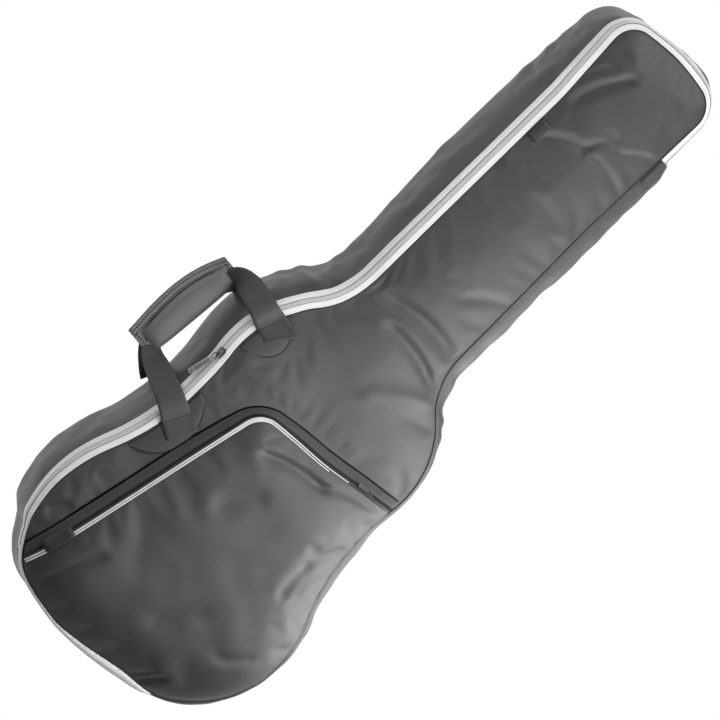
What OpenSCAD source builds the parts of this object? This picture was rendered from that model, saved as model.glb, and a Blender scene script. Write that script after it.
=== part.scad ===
// Padded guitar gig bag, lying on its back with the front panel up.
// +Y runs to the head end, +X to the hinge side of the front panel, +Z out of the front.
// The origin is the middle of the back panel's underside.

/* [Bag] */
// Length of the whole bag
bag_len = 1104; // [1000:2:1200]
// Depth of the bag, back to front, without the pocket
bag_depth = 115; // [100:1:140]
// Width across the lower bout
bout_w = 440; // [420:2:480]
// Width across the waist
waist_w = 344; // [330:2:360]
// Width across the upper bout
upper_w = 360; // [350:2:376]
// Width of the neck and head
neck_w = 198; // [180:2:220]
// Distance from the bottom end to the widest part of the lower bout
bout_at = 133; // [125:1:145]
// Distance from the bottom end to the waist
waist_at = 354; // [340:1:365]
// Distance from the bottom end to the widest part of the upper bout
upper_at = 437; // [430:1:444]
// Radius of the bottom end
bottom_r = 450; // [380:5:600]
// Radius of the two bottom corners
corner_r = 110; // [90:1:120]
// Radius of the lower bout's sides
bout_r = 250; // [230:5:270]
// Radius where each shoulder runs into the neck
shoulder_r = 90; // [60:1:120]
// Radius of the two head corners
head_corner_r = 57; // [45:1:70]
// Radius of the crowned head end
head_r = 400; // [300:5:600]

/* [Padded wall] */
// Thickness of the outer nylon
shell_t = 1; // [0.6:0.1:1.5]
// Thickness of the foam
foam_t = 8; // [5:0.5:12]
// Thickness of the lining
lining_t = 1; // [0.6:0.1:1.5]

/* [Main zipper] */
// Plan width of the sloping shoulder that carries the zipper
bevel_w = 22; // [20:1:26]
// Height of the sloping shoulder
bevel_h = 17; // [14:1:22]
// Width of the closed coil
coil_w = 6; // [5:0.5:8]
// Thickness of the coil
coil_t = 3; // [2:0.5:4]
// Distance from the bottom end to the zipper's end on the right of the neck
zip_end_at = 979; // [960:1:1000]
// Distance that the fold line ends below that zipper end
fold_drop = 45; // [42:1:60]
// Diameter of the piping in the front seam
piping_d = 4; // [3:0.5:5]

/* [Pocket] */
// Height of the pocket above the front panel
pocket_depth = 15; // [12:1:20]
// Plan width of the pocket's sloping zipper edge
pocket_bevel_w = 14; // [12:1:18]
// Thickness of the pocket panel
pocket_t = 3; // [2:0.5:4]
// Radius of the pocket's upper left corner
pocket_corner_r = 36; // [30:1:44]
// Slant of the pocket's left edge from the bag's length
pocket_slant = 13; // [11:0.5:14]
// Rise of the pocket's top edge towards the right
pocket_rise = 5.7; // [3:0.1:8]
// Length of the zipper down the left edge
pocket_left_run = 310; // [290:1:315]
// Length of the zipper along the top edge
pocket_top_run = 190; // [170:1:192]
// Diameter of the pocket's edge piping
pocket_piping_d = 3; // [2:0.5:4]

/* [Handle] */
// Width of the webbing
webbing_w = 38; // [30:1:40]
// Thickness of the webbing
webbing_t = 2; // [1.5:0.1:2.5]
// Length of the padded grip
grip_len = 128; // [110:1:134]
// Width of the padded grip
grip_w = 44; // [42:1:50]
// Thickness of each half of the padded grip
leaf_t = 11; // [8:0.5:13]
// Distance of the grip's middle from the bag's centre line
grip_out = 225; // [223:1:235]
// Height of the grip's middle
grip_z = 61; // [58:1:70]
// Distance from the bottom end to the grip's middle
grip_at = 397; // [393:1:402]

/* [Hidden] */

nylon = "dimgray";
black = "black";
lining_grey = "silver";
silver = "lightgray";
foam_white = "whitesmoke";

// Clearance between pieces that move past each other
gap = 0.3;
// Clearance between pieces that are sewn face to face over a bend
seam_gap = 0.1;
// Distance that the opening part's foam stops short of the seam
foam_margin = 8;
wall = shell_t + foam_t + lining_t;
edge_z = bag_depth - bevel_h;
tape_t = 1;
far = 2000;

// ---- plan outline: tangent arcs, right half, from the bottom end to the head ----
y0 = -bag_len / 2;
bottom_c = [0, y0 + bottom_r];
bout_c = [bout_w / 2 - bout_r, y0 + bout_at];
bout_dx = (bout_w - waist_w) / 2;
bout_dy = waist_at - bout_at;
waist_r = (bout_dx ^ 2 + bout_dy ^ 2) / (2 * bout_dx) - bout_r;
waist_c = [waist_w / 2 + waist_r, y0 + waist_at];
upper_dx = (upper_w - waist_w) / 2;
upper_dy = upper_at - waist_at;
upper_r = (upper_dx ^ 2 + upper_dy ^ 2) / (2 * upper_dx) - waist_r;
upper_c = [upper_w / 2 - upper_r, y0 + upper_at];
shoulder_x = neck_w / 2 + shoulder_r;
shoulder_dx = shoulder_x - upper_c[0];
shoulder_c = [shoulder_x, upper_c[1] + sqrt((upper_r + shoulder_r) ^ 2 - shoulder_dx ^ 2)];
head_c = [0, y0 + bag_len - head_r];
head_corner_x = neck_w / 2 - head_corner_r;
head_corner_c = [head_corner_x, head_c[1] + sqrt((head_r - head_corner_r) ^ 2 - head_corner_x ^ 2)];
corner_c = meet(bottom_c, bottom_r - corner_r, bout_c, bout_r - corner_r);
zip_end_y = y0 + zip_end_at;
fold_end_y = zip_end_y - fold_drop;

function angle_of(v) = atan2(v[1], v[0]);
function unit(v) = v / norm(v);
function left_of(v) = [-v[1], v[0]];
function tail(list) = [for (i = [1 : len(list) - 1]) list[i]];
function arc(c, r, a0, a1, n) = [for (i = [0 : n]) let (a = a0 + (a1 - a0) * i / n)
    c + r * [cos(a), sin(a)]];
// The right-hand point at distance ra from a and rb from b
function meet(a, ra, b, rb) = let (d = norm(b - a), u = (b - a) / d,
    along = (ra ^ 2 - rb ^ 2 + d ^ 2) / (2 * d)) a + u * along + left_of(u) * sqrt(ra ^ 2 - along ^ 2);

bottom_end_a = angle_of(corner_c - bottom_c);
corner_end_a = angle_of(corner_c - bout_c);
bout_end_a = angle_of(waist_c - bout_c);
waist_end_a = angle_of(upper_c - waist_c);
upper_end_a = angle_of(shoulder_c - upper_c);
head_end_a = angle_of(head_corner_c - head_c);

bottom_n = 3;
corner_n = 8;
bout_n = 6;
waist_n = 6;
upper_n = 5;
shoulder_n = 6;
neck_n = 4;
head_corner_n = 5;
head_n = 2;

// Right half of the outline, moved outwards by d
function half(d) = concat(
    arc(bottom_c, bottom_r + d, -90, bottom_end_a, bottom_n),
    tail(arc(corner_c, corner_r + d, bottom_end_a, corner_end_a, corner_n)),
    tail(arc(bout_c, bout_r + d, corner_end_a, bout_end_a, bout_n)),
    tail(arc(waist_c, waist_r - d, bout_end_a + 180, waist_end_a, waist_n)),
    tail(arc(upper_c, upper_r + d, waist_end_a - 180, upper_end_a, upper_n)),
    tail(arc(shoulder_c, shoulder_r - d, upper_end_a + 180, 180, shoulder_n)),
    [for (i = [1 : neck_n]) [neck_w / 2 + d, shoulder_c[1]
        + (fold_end_y - shoulder_c[1]) * i / neck_n]],
    [[neck_w / 2 + d, zip_end_y], [neck_w / 2 + d, head_corner_c[1]]],
    tail(arc(head_corner_c, head_corner_r + d, 0, head_end_a, head_corner_n)),
    tail(arc(head_c, head_r + d, head_end_a, 90, head_n)));
half_n = bottom_n + corner_n + bout_n + waist_n + upper_n + shoulder_n + neck_n + 2
    + head_corner_n + head_n;
// The station on the left side at height y
function left_station(y) = let (line = outline(0))
    lookup(y, [for (i = [stations - bottom_n : -1 : half_n]) [line[i][1], i]]);
function outline(d) = let (h = half(d)) concat(h,
    [for (i = [half_n - 1 : -1 : 1]) [-h[i][0], h[i][1]]]);
stations = 2 * half_n;

// Stations where the fold and the zipper end, counted from the bottom end
fold_high = bottom_n + corner_n + bout_n + waist_n + upper_n + shoulder_n + neck_n;
zip_high = fold_high + 1;
fold_low = stations - bottom_n - 2;
zip_low = fold_low - 1;
// Part of a station that the opening half of the zipper stops short at each end
zip_trim = [0.03, 0.12];
piping_end = bottom_n - 1;

front_line = outline(-bevel_w);
fold_a = front_line[fold_low];
fold_b = front_line[fold_high];

// ---- slope of the zipper shoulder ----
bevel_a = atan2(bevel_h, bevel_w);
bevel_len = norm([bevel_w, bevel_h]);
bevel_start = tape_t / tan(bevel_a);
bevel_end = bevel_len - tape_t * tan(bevel_a);
coil_mid = bevel_len / 2;
// A point s up the slope and n out of it, as [distance outwards from the outline, height]
function slope(s, n) = [-(s * cos(bevel_a) - n * sin(bevel_a)),
    edge_z + s * sin(bevel_a) + n * cos(bevel_a)];
function slope_box(s0, s1, n0, n1) = [slope(s0, n0), slope(s1, n0), slope(s1, n1), slope(s0, n1)];
function slope_round(s, n, r) = [for (i = [0 : 5]) slope(s + r * cos(60 * i), n + r * sin(60 * i))];

// ---- pocket edge: straight left edge, round corner, straight top edge ----
pocket_left_a = 180 - pocket_slant;
pocket_top_a = 90 + pocket_rise;
pocket_gap = 5;
pocket_corner_y = y0 + 354;
fold_dir = unit(fold_b - fold_a);
fold_x = fold_a[0] + (pocket_corner_y - fold_a[1]) * fold_dir[0] / fold_dir[1];
pocket_c = [fold_x + pocket_gap + pocket_corner_r, pocket_corner_y];
pocket_left_dir = [-sin(pocket_slant), -cos(pocket_slant)];
pocket_top_dir = [cos(pocket_rise), sin(pocket_rise)];
pocket_n = 8;
// The pocket edge, moved inwards by d, with its straight runs of the two lengths
function pocket_edge(d, left, top) = let (r = pocket_corner_r - d,
    a = arc(pocket_c, r, pocket_left_a, pocket_top_a, pocket_n))
    concat([a[0] + pocket_left_dir * left], a, [a[pocket_n] + pocket_top_dir * top]);
pocket_z = bag_depth + pocket_depth;
pocket_under = pocket_z - pocket_t;
pocket_a = atan2(pocket_depth, pocket_bevel_w);
pocket_len = norm([pocket_bevel_w, pocket_depth]);
pocket_tape_t = 1;
pocket_coil_w = 4;
pocket_coil_t = 2;
pocket_start = pocket_tape_t / tan(pocket_a);
pocket_end = pocket_len - pocket_tape_t * tan(pocket_a);
pocket_mid = pocket_len / 2;
function pocket_slope(s, n) = [s * cos(pocket_a) - n * sin(pocket_a),
    bag_depth + s * sin(pocket_a) + n * cos(pocket_a)];
function pocket_box(s0, s1, n0, n1) = [pocket_slope(s0, n0), pocket_slope(s1, n0),
    pocket_slope(s1, n1), pocket_slope(s0, n1)];
pocket_ends = pocket_edge(pocket_bevel_w, pocket_left_run, pocket_top_run);
pocket_fold_a = pocket_ends[0];
pocket_fold_b = pocket_ends[pocket_n + 2];

// ---- handle ----
grip_y = y0 + grip_at;
leg_gap = 1;
leg_off = grip_len / 2 + leg_gap + webbing_w / 2;
leg_y = [grip_y - leg_off, grip_y + leg_off];
handle_x = -waist_w / 2 + bevel_w + 4;
patch_t = 0.8;
strip_t = 1;
webbing_z = bag_depth + patch_t;
tab_len = 30;
leaf_r = ((grip_w / 2) ^ 2 + leaf_t ^ 2) / (2 * leaf_t);
back_hinge_x = -waist_w / 2 - 11;
back_hinge_z = 13;
bar_z = grip_z - webbing_t / 2 - leaf_t - gap - webbing_t;

// ---- shared shapes ----

// The point at a station, or between two stations
function at(line, t) = let (i = floor(t), f = t - i)
    line[i % stations] * (1 - f) + line[(i + 1) % stations] * f;

// Sweeps a closed [outwards, height] section along the outline from one station to another
module band(section, from, to) {
    k = len(section);
    lines = [for (p = section) outline(p[0])];
    stops = concat([from], [for (i = [floor(from) + 1 : ceil(to) - 1]) i], [to]);
    points = [for (t = stops) for (j = [0 : k - 1]) let (p = at(lines[j], t)) [p[0], p[1], section[j][1]]];
    polyhedron(points, sweep_faces(len(stops), k));
}

// Sweeps a closed [inwards, height] section along the pocket's zipper edge
module pocket_band(section, left, top) {
    k = len(section);
    lines = [for (p = section) pocket_edge(p[0], left, top)];
    count = pocket_n + 3;
    points = [for (i = [0 : count - 1]) for (j = [0 : k - 1])
        [lines[j][i][0], lines[j][i][1], section[j][1]]];
    polyhedron(points, sweep_faces(count, k));
}

function sweep_faces(count, k) = concat(
    [[for (j = [k - 1 : -1 : 0]) j]],
    [for (i = [0 : count - 2]) for (j = [0 : k - 1])
        [i * k + j, i * k + (j + 1) % k, (i + 1) * k + (j + 1) % k]],
    [for (i = [0 : count - 2]) for (j = [0 : k - 1])
        [i * k + j, (i + 1) * k + (j + 1) % k, (i + 1) * k + j]],
    [[for (j = [0 : k - 1]) (count - 1) * k + j]]);

module slab(z, t) {
    translate([0, 0, z]) linear_extrude(t) children();
}

module plan(d) {
    polygon(outline(d));
}

// The side of a line from a to b that lies to its left, starting a distance off it
module left_side(a, b, off) {
    along = unit(b - a);
    out = left_of(along);
    polygon([a + out * off - along * far, a + out * off + along * far,
        a + out * far + along * far, a + out * far - along * far]);
}

module wall_ring(outer, inner, z, t) {
    slab(z, t) difference() {
        plan(-outer);
        plan(-inner);
    }
}

module flap_plan(margin) {
    intersection() {
        plan(-bevel_w - margin);
        left_side(fold_a, fold_b, gap / 2);
    }
}

module fixed_plan() {
    intersection() {
        plan(-bevel_w);
        left_side(fold_b, fold_a, gap / 2);
    }
}

// The pocket's plan inside its zipper edge, moved inwards by d
module pocket_plan(d, seam) {
    edge = pocket_edge(d, far, far);
    intersection() {
        polygon(concat(edge, [[far, -far], [-far / 4, -far]]));
        plan(-bevel_w - seam);
    }
}

// A flat strap bent along points of [x, z], with its width along Y about y
module strap(path, y) {
    n = len(path);
    dirs = [for (i = [0 : n - 1]) unit(path[min(i + 1, n - 1)] - path[max(i - 1, 0)])];
    top = [for (i = [0 : n - 1]) path[i] + left_of(dirs[i]) * webbing_t / 2];
    low = [for (i = [n - 1 : -1 : 0]) path[i] - left_of(dirs[i]) * webbing_t / 2];
    translate([0, y + webbing_w / 2, 0]) rotate([90, 0, 0])
        linear_extrude(webbing_w) polygon(concat(top, low));
}

// Half of the padded grip: a round-backed pad with its flat face at z = 0, bulging up
module leaf() {
    translate([0, grip_len / 2, 0]) rotate([90, 0, 0]) linear_extrude(grip_len)
        intersection() {
            translate([0, leaf_t - leaf_r]) circle(leaf_r, $fn = 96);
            translate([-grip_w / 2, 0]) square([grip_w, leaf_t]);
        }
}

// ---- back panel ----
module back_shell() {
    color(nylon) slab(0, shell_t) plan(0);
}

module back_foam() {
    color(foam_white) slab(shell_t, foam_t) plan(-shell_t);
}

module back_lining() {
    color(lining_grey) slab(shell_t + foam_t, lining_t) plan(-wall);
}

// ---- gusset: the padded side wall ----
module gusset_shell() {
    color(nylon) wall_ring(0, shell_t, shell_t, edge_z - shell_t);
}

module gusset_foam() {
    z = shell_t + foam_t;
    color(foam_white) wall_ring(shell_t, shell_t + foam_t, z, edge_z - z);
}

module gusset_lining() {
    z = shell_t + foam_t;
    color(lining_grey) wall_ring(shell_t + foam_t, wall, z, edge_z - z);
}

// ---- fixed part of the front panel ----
module front_shell() {
    color(nylon) slab(bag_depth - shell_t, shell_t) fixed_plan();
}

module front_foam() {
    color(foam_white) slab(bag_depth - shell_t - foam_t, foam_t) fixed_plan();
}

module front_lining() {
    color(lining_grey) slab(bag_depth - wall, lining_t) fixed_plan();
}

// Plain fabric shoulder along the bottom and the right side
module edge_fabric() {
    color(nylon) band(slope_box(bevel_start, bevel_end, -tape_t, 0), fold_low,
        zip_high + stations);
}

// ---- main zipper, gusset half ----
module zip_tape_back() {
    color(silver) band(slope_box(bevel_start, coil_mid - coil_w / 2, -tape_t, 0), zip_high, fold_low);
}

module zip_coil_back() {
    color(silver) band(slope_box(coil_mid - coil_w / 2, coil_mid - gap / 2, -coil_t / 2, coil_t / 2),
        zip_high, fold_low);
}

// Stitched tab across the zipper's lower end
module zip_end_low() {
    color(silver) band(slope_box(coil_mid, bevel_end, -tape_t, 0), zip_low, fold_low);
}

// Folded end of the gusset across the zipper's end at the head
module zip_end_fold() {
    color(nylon) band(slope_box(bevel_start, bevel_end, 0, tape_t), fold_high, zip_high);
}

// ---- piping in the front seam ----
module bottom_piping() {
    color(silver) band(slope_round(bevel_end - piping_d / 2, piping_d / 2 * sin(60) + seam_gap, piping_d / 2),
        fold_low, stations + piping_end);
}

module seam_piping() {
    color(nylon) band(slope_round(bevel_end - piping_d / 2, piping_d / 2 * sin(60) + seam_gap, piping_d / 2),
        piping_end, fold_high);
}

// ---- opening part of the front panel ----
module flap_shell() {
    color(nylon) slab(bag_depth - shell_t, shell_t) flap_plan(gap);
}

module flap_foam() {
    color(foam_white) slab(bag_depth - shell_t - foam_t, foam_t) flap_plan(foam_margin);
}

module flap_lining() {
    color(lining_grey) slab(bag_depth - wall, lining_t) flap_plan(foam_margin);
}

module zip_tape_front() {
    color(silver) band(slope_box(coil_mid + coil_w / 2, bevel_end, -tape_t, 0),
        zip_high + zip_trim[0], zip_low - zip_trim[1]);
}

module zip_coil_front() {
    color(silver) band(slope_box(coil_mid + gap / 2, coil_mid + coil_w / 2, -coil_t / 2, coil_t / 2),
        zip_high + zip_trim[0], zip_low - zip_trim[1]);
}

// Blank fabric tab sewn at the zipper's front edge near the head
module tab_head() {
    tab = [14, 30, 1.2];
    inset = 2;
    color("white") translate([-neck_w / 2 + bevel_w + inset, y0 + 885, bag_depth]) cube(tab);
}

// ---- sliders and pulls ----
slider_t = 2;
bridge_h = 2.4;
bridge_t = 1;
wire = 1.4;
// Where the slider is parked, as a turn about the waist's centre
slider_turn = 9.5;
slider_r = waist_r + bevel_w / 2;
slider_size = [11, 15];
bridge_len = 9;
loop_size = [8, 10.5];
pull_size = [9, 34];

// Places its children on the main coil between the handle's two straps
module on_coil() {
    translate([-waist_c[0], waist_c[1], 0]) rotate([0, 0, slider_turn])
        translate([slider_r, 0, edge_z + bevel_h / 2]) rotate([0, -bevel_a, 0]) children();
}

// A slider's upper plate with the bridge that holds its pull; low is the plate's underside
module slider(size, low, bridge) {
    top = low + slider_t;
    bridge_w = size[0] / 4;
    translate([-size[0] / 2, -size[1] / 2, low]) cube([size[0], size[1], slider_t]);
    difference() {
        translate([-bridge_w / 2, -bridge / 2, top]) cube([bridge_w, bridge, bridge_h + bridge_t]);
        translate([-bridge_w, -bridge / 2 + bridge_t, top])
            cube([bridge_w * 2, bridge - 2 * bridge_t, bridge_h]);
    }
}

// Places its children at the wire that turns in a slider's bridge
module at_wire(low, bridge) {
    translate([0, -bridge / 2 + bridge_t + wire / 2 + gap, low + slider_t + bridge_h / 2]) children();
}

// A closed wire loop, its back wire at the origin, reaching towards -Y
module wire_loop(size) {
    difference() {
        translate([-size[0] / 2, wire / 2 - size[1], -wire / 2]) cube([size[0], size[1], wire]);
        translate([wire - size[0] / 2, wire * 1.5 - size[1], -wire])
            cube([size[0] - 2 * wire, size[1] - 2 * wire, 2 * wire]);
    }
}

slider_clear = 0.8;
slider_low = coil_t / 2 + slider_clear;

module slider_body() {
    color("gray") on_coil() slider(slider_size, slider_low, bridge_len);
}

module pull_ring() {
    color("silver") on_coil() at_wire(slider_low, bridge_len) wire_loop(loop_size);
}

module pull_tab() {
    color("silver") on_coil() at_wire(slider_low, bridge_len)
        translate([-pull_size[0] / 2, wire / 2 - loop_size[1] - pull_size[1], -wire / 2])
            cube([pull_size[0], pull_size[1], wire]);
}

// ---- accessory pocket, fixed part ----
module pocket_wall() {
    depth = pocket_depth - pocket_t;
    color(nylon) slab(bag_depth, depth) difference() {
        pocket_plan(pocket_bevel_w + 2, 0);
        pocket_plan(pocket_bevel_w - 2, 3);
        left_side(pocket_fold_a, pocket_fold_b, 0);
    }
}

module pocket_panel() {
    color(nylon) slab(pocket_under, pocket_t) difference() {
        pocket_plan(pocket_bevel_w + gap, 0);
        left_side(pocket_fold_a, pocket_fold_b, -gap / 2);
    }
}

module pocket_tape_low() {
    color(black) pocket_band(pocket_box(pocket_start, pocket_mid - pocket_coil_w / 2,
        -pocket_tape_t, 0), pocket_left_run, pocket_top_run);
}

module pocket_coil_low() {
    color(black) pocket_band(pocket_box(pocket_mid - pocket_coil_w / 2, pocket_mid - gap / 2,
        -pocket_coil_t / 2, pocket_coil_t / 2), pocket_left_run, pocket_top_run);
}

// Blank fabric tab beside the pocket zipper's lower end
module tab_pocket() {
    tab = [20, 13, 1.2];
    color(black) translate([pocket_fold_a[0] + 8, pocket_fold_a[1] - 12, pocket_z]) cube(tab);
}

// ---- accessory pocket, opening part ----
module pocket_flap() {
    color(nylon) slab(pocket_under, pocket_t) intersection() {
        pocket_plan(pocket_bevel_w, 0);
        left_side(pocket_fold_a, pocket_fold_b, gap / 2);
    }
}

pocket_trim = 12;
module pocket_tape_top() {
    color(black) pocket_band(pocket_box(pocket_mid + pocket_coil_w / 2, pocket_end,
        -pocket_tape_t, 0), pocket_left_run - pocket_trim, pocket_top_run - pocket_trim);
}

module pocket_coil_top() {
    color(black) pocket_band(pocket_box(pocket_mid + gap / 2, pocket_mid + pocket_coil_w / 2,
        -pocket_coil_t / 2, pocket_coil_t / 2), pocket_left_run - pocket_trim,
        pocket_top_run - pocket_trim);
}

module pocket_piping() {
    r = pocket_piping_d / 2;
    section = [for (i = [0 : 5]) [pocket_bevel_w + 3 + r * cos(60 * i + 30),
        pocket_z + r + r * sin(60 * i + 30)]];
    color(silver) pocket_band(section, pocket_left_run - 3 * pocket_trim,
        pocket_top_run - 3 * pocket_trim);
}

pocket_slider_size = [8, 11];
pocket_bridge = 7;
pocket_pull_size = [6, 26];
pocket_slider_low = pocket_coil_t / 2 + gap;
pocket_slider_at = pocket_top_run - 2 * pocket_trim;

// Places its children on the pocket's coil at the right end of the top edge
module on_pocket_coil() {
    translate([pocket_c[0], pocket_c[1], 0]) rotate([0, 0, pocket_rise])
        translate([pocket_slider_at, pocket_corner_r - pocket_bevel_w / 2, bag_depth + pocket_depth / 2])
            rotate([-pocket_a, 0, 0]) rotate([0, 0, -90]) children();
}

module pocket_slider() {
    color(black) on_pocket_coil() slider(pocket_slider_size, pocket_slider_low, pocket_bridge);
}

// Wire loop and flat pull in one piece
module pocket_pull() {
    color(black) on_pocket_coil() at_wire(pocket_slider_low, pocket_bridge)
        wire_loop([pocket_pull_size[0], pocket_pull_size[1]]);
}

// ---- carrying handle ----
// Reinforcing patches on the opening part of the front panel
module handle_patches() {
    patch = [26, webbing_w + 16];
    color(nylon) for (y = leg_y)
        translate([handle_x + tab_len - patch[0] - gap, y - patch[1] / 2, bag_depth])
            cube([patch[0], patch[1], patch_t]);
}

// The webbing's sewn ends on the patches
module handle_tabs() {
    color(black) for (y = leg_y)
        translate([handle_x + gap, y - webbing_w / 2, webbing_z])
            cube([tab_len - 2, webbing_w, webbing_t]);
}

// The straps bow over the zipper, so that the slider and its pull pass under them
front_path = [[handle_x, webbing_z + webbing_t / 2], [handle_x - 10, webbing_z + 2.6],
    [handle_x - 22, webbing_z + 2.8], [handle_x - 35, webbing_z - 5],
    [handle_x - 46, webbing_z - 21], [-grip_out + grip_w / 2 + 3, grip_z + 15],
    [-grip_out + grip_w / 2 - 3, grip_z + 1.5], [-grip_out + grip_w / 2 - 8, grip_z]];

module webbing_front() {
    reach = leg_y[1] - leg_y[0] + webbing_w;
    color(black) union() {
        for (y = leg_y) strap(front_path, y);
        translate([-grip_out - webbing_w / 2, leg_y[0] - webbing_w / 2, grip_z - webbing_t / 2])
            cube([webbing_w - 4, reach, webbing_t]);
    }
}

module grip_lower() {
    color("gray") translate([-grip_out, grip_y, grip_z - webbing_t / 2]) mirror([0, 0, 1]) leaf();
}

// Loop half of the closure, on the lower pad's outer edge
module loop_strip() {
    color(black) translate([-grip_out - grip_w / 2 - strip_t - gap, grip_y - grip_len / 2 + 10,
        grip_z - webbing_t / 2 - 4]) cube([strip_t, grip_len - 20, 5]);
}

module grip_upper() {
    color("gray") translate([-grip_out, grip_y, grip_z + webbing_t / 2 + gap]) leaf();
}

module hook_strip() {
    color(black) translate([-grip_out - grip_w / 2 - strip_t - gap, grip_y - grip_len / 2 + 10,
        grip_z + webbing_t / 2 + gap]) cube([strip_t + gap, grip_len - 20, 4]);
}

// Rear webbing: sewn into the seam of the back panel
module handle_tabs_back() {
    low = 4;
    high = 22;
    section = [[webbing_t, low], [seam_gap, low], [seam_gap, high], [webbing_t, high]];
    color(black) for (y = leg_y)
        band(section, left_station(y + webbing_w / 2), left_station(y - webbing_w / 2));
}

module webbing_back() {
    reach = leg_y[1] - leg_y[0] + webbing_w;
    path = [[back_hinge_x, back_hinge_z], [back_hinge_x - 10, back_hinge_z + 12],
        [-grip_out + webbing_w / 2, bar_z + webbing_t / 2 - 6],
        [-grip_out + webbing_w / 2 - 6, bar_z + webbing_t / 2]];
    color(black) union() {
        for (y = leg_y) strap(path, y);
        translate([-grip_out - webbing_w / 2, leg_y[0] - webbing_w / 2, bar_z])
            cube([webbing_w - 6, reach, webbing_t]);
    }
}

back_shell();
back_foam();
back_lining();
gusset_shell();
gusset_foam();
gusset_lining();
front_shell();
front_foam();
front_lining();
edge_fabric();
zip_tape_back();
zip_coil_back();
zip_end_low();
zip_end_fold();
bottom_piping();
seam_piping();
flap_shell();
flap_foam();
flap_lining();
zip_tape_front();
zip_coil_front();
tab_head();
slider_body();
pull_ring();
pull_tab();
pocket_wall();
pocket_panel();
pocket_tape_low();
pocket_coil_low();
tab_pocket();
pocket_flap();
pocket_tape_top();
pocket_coil_top();
pocket_piping();
pocket_slider();
pocket_pull();
handle_patches();
handle_tabs();
webbing_front();
grip_lower();
loop_strip();
grip_upper();
hook_strip();
handle_tabs_back();
webbing_back();
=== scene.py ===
import math

import bmesh
import bpy
import numpy as np
from mathutils import Matrix, Vector, noise


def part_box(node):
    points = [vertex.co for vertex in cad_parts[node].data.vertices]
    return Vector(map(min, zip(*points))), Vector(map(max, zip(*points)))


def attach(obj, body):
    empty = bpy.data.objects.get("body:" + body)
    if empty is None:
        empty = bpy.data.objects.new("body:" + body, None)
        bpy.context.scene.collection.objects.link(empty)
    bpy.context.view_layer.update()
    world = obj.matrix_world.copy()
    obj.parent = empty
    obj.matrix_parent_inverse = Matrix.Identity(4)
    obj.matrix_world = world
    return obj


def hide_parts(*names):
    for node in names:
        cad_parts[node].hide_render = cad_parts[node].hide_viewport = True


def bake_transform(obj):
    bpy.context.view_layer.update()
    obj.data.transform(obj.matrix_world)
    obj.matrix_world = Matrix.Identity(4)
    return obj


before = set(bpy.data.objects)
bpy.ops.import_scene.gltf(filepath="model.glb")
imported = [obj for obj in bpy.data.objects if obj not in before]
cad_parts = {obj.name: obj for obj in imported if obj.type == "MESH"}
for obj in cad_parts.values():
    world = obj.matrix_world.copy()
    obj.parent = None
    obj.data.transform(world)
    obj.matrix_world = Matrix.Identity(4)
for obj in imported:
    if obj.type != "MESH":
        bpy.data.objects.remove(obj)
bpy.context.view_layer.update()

# ---------------------------------------------------------------------------
# Studio: a long lens looks down on the bag from the handle side, with the
# head end up and to the right.  The floor is one white sheet that glows
# evenly and lights nothing on the bag.
# ---------------------------------------------------------------------------
VIEW_TILT = math.radians(19.5)
VIEW_WIDTH = 0.936
VIEW_DISTANCE = 7.0
AIM = Vector((-0.0178, -0.0286, 0.115))

up_bag = Vector((0, 1, 0))
down_right = Vector((math.cos(VIEW_TILT), 0, math.sin(VIEW_TILT)))
towards_lens = Vector((-math.sin(VIEW_TILT), 0, math.cos(VIEW_TILT)))
cam_data = bpy.data.cameras.new("lens")
cam_data.sensor_width = 36
cam_data.lens = cam_data.sensor_width * VIEW_DISTANCE / VIEW_WIDTH
cam_data.clip_end = 50
camera = bpy.data.objects.new("camera", cam_data)
bpy.context.scene.collection.objects.link(camera)
turn = Matrix((((up_bag + down_right) / math.sqrt(2)), ((up_bag - down_right) / math.sqrt(2)),
               towards_lens)).transposed()
camera.matrix_world = Matrix.Translation(AIM + towards_lens * VIEW_DISTANCE) @ turn.to_4x4()
bpy.context.scene.camera = camera


def soft_light(name, place, size, power, aim=(0, 0, 0.06)):
    """An area light aimed at a place and hidden from the lens."""
    data = bpy.data.lights.new(name, "AREA")
    data.shape = "RECTANGLE"
    data.size, data.size_y = size
    data.energy = power
    lamp = bpy.data.objects.new(name, data)
    lamp.visible_camera = False
    bpy.context.scene.collection.objects.link(lamp)
    lamp.location = place
    lamp.rotation_euler = (Vector(aim) - Vector(place)).to_track_quat("-Z", "Y").to_euler()


soft_light("right_box", (0.80, -0.09, 0.52), (0.40, 1.8), 24, (0.06, -0.07, 0.06))
soft_light("key", (0.5, 1.5, 1.3), (1.2, 1.2), 28, (0, 0.45, 0.1))
soft_light("side", (-2.6, 0.5, 0.70), (1.2, 1.8), 34)

world = bpy.data.worlds.new("studio")
world.use_nodes = True
# Dim from above, bright from below, as a pale floor throws light back up at the sides
heading = world.node_tree.nodes.new("ShaderNodeNewGeometry")
split = world.node_tree.nodes.new("ShaderNodeSeparateXYZ")
bounce = world.node_tree.nodes.new("ShaderNodeMapRange")
for socket, value in (("From Min", -0.15), ("From Max", 0.15), ("To Min", 0.95), ("To Max", 0.18)):
    bounce.inputs[socket].default_value = value
world.node_tree.links.new(heading.outputs["Position"], split.inputs["Vector"])
world.node_tree.links.new(split.outputs["Z"], bounce.inputs["Value"])
world.node_tree.links.new(bounce.outputs["Result"], world.node_tree.nodes["Background"].inputs["Strength"])
world.node_tree.nodes["Background"].inputs["Color"].default_value = (1, 1, 1, 1)
bpy.context.scene.world = world
bpy.context.scene.view_settings.view_transform = "Standard"

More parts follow.
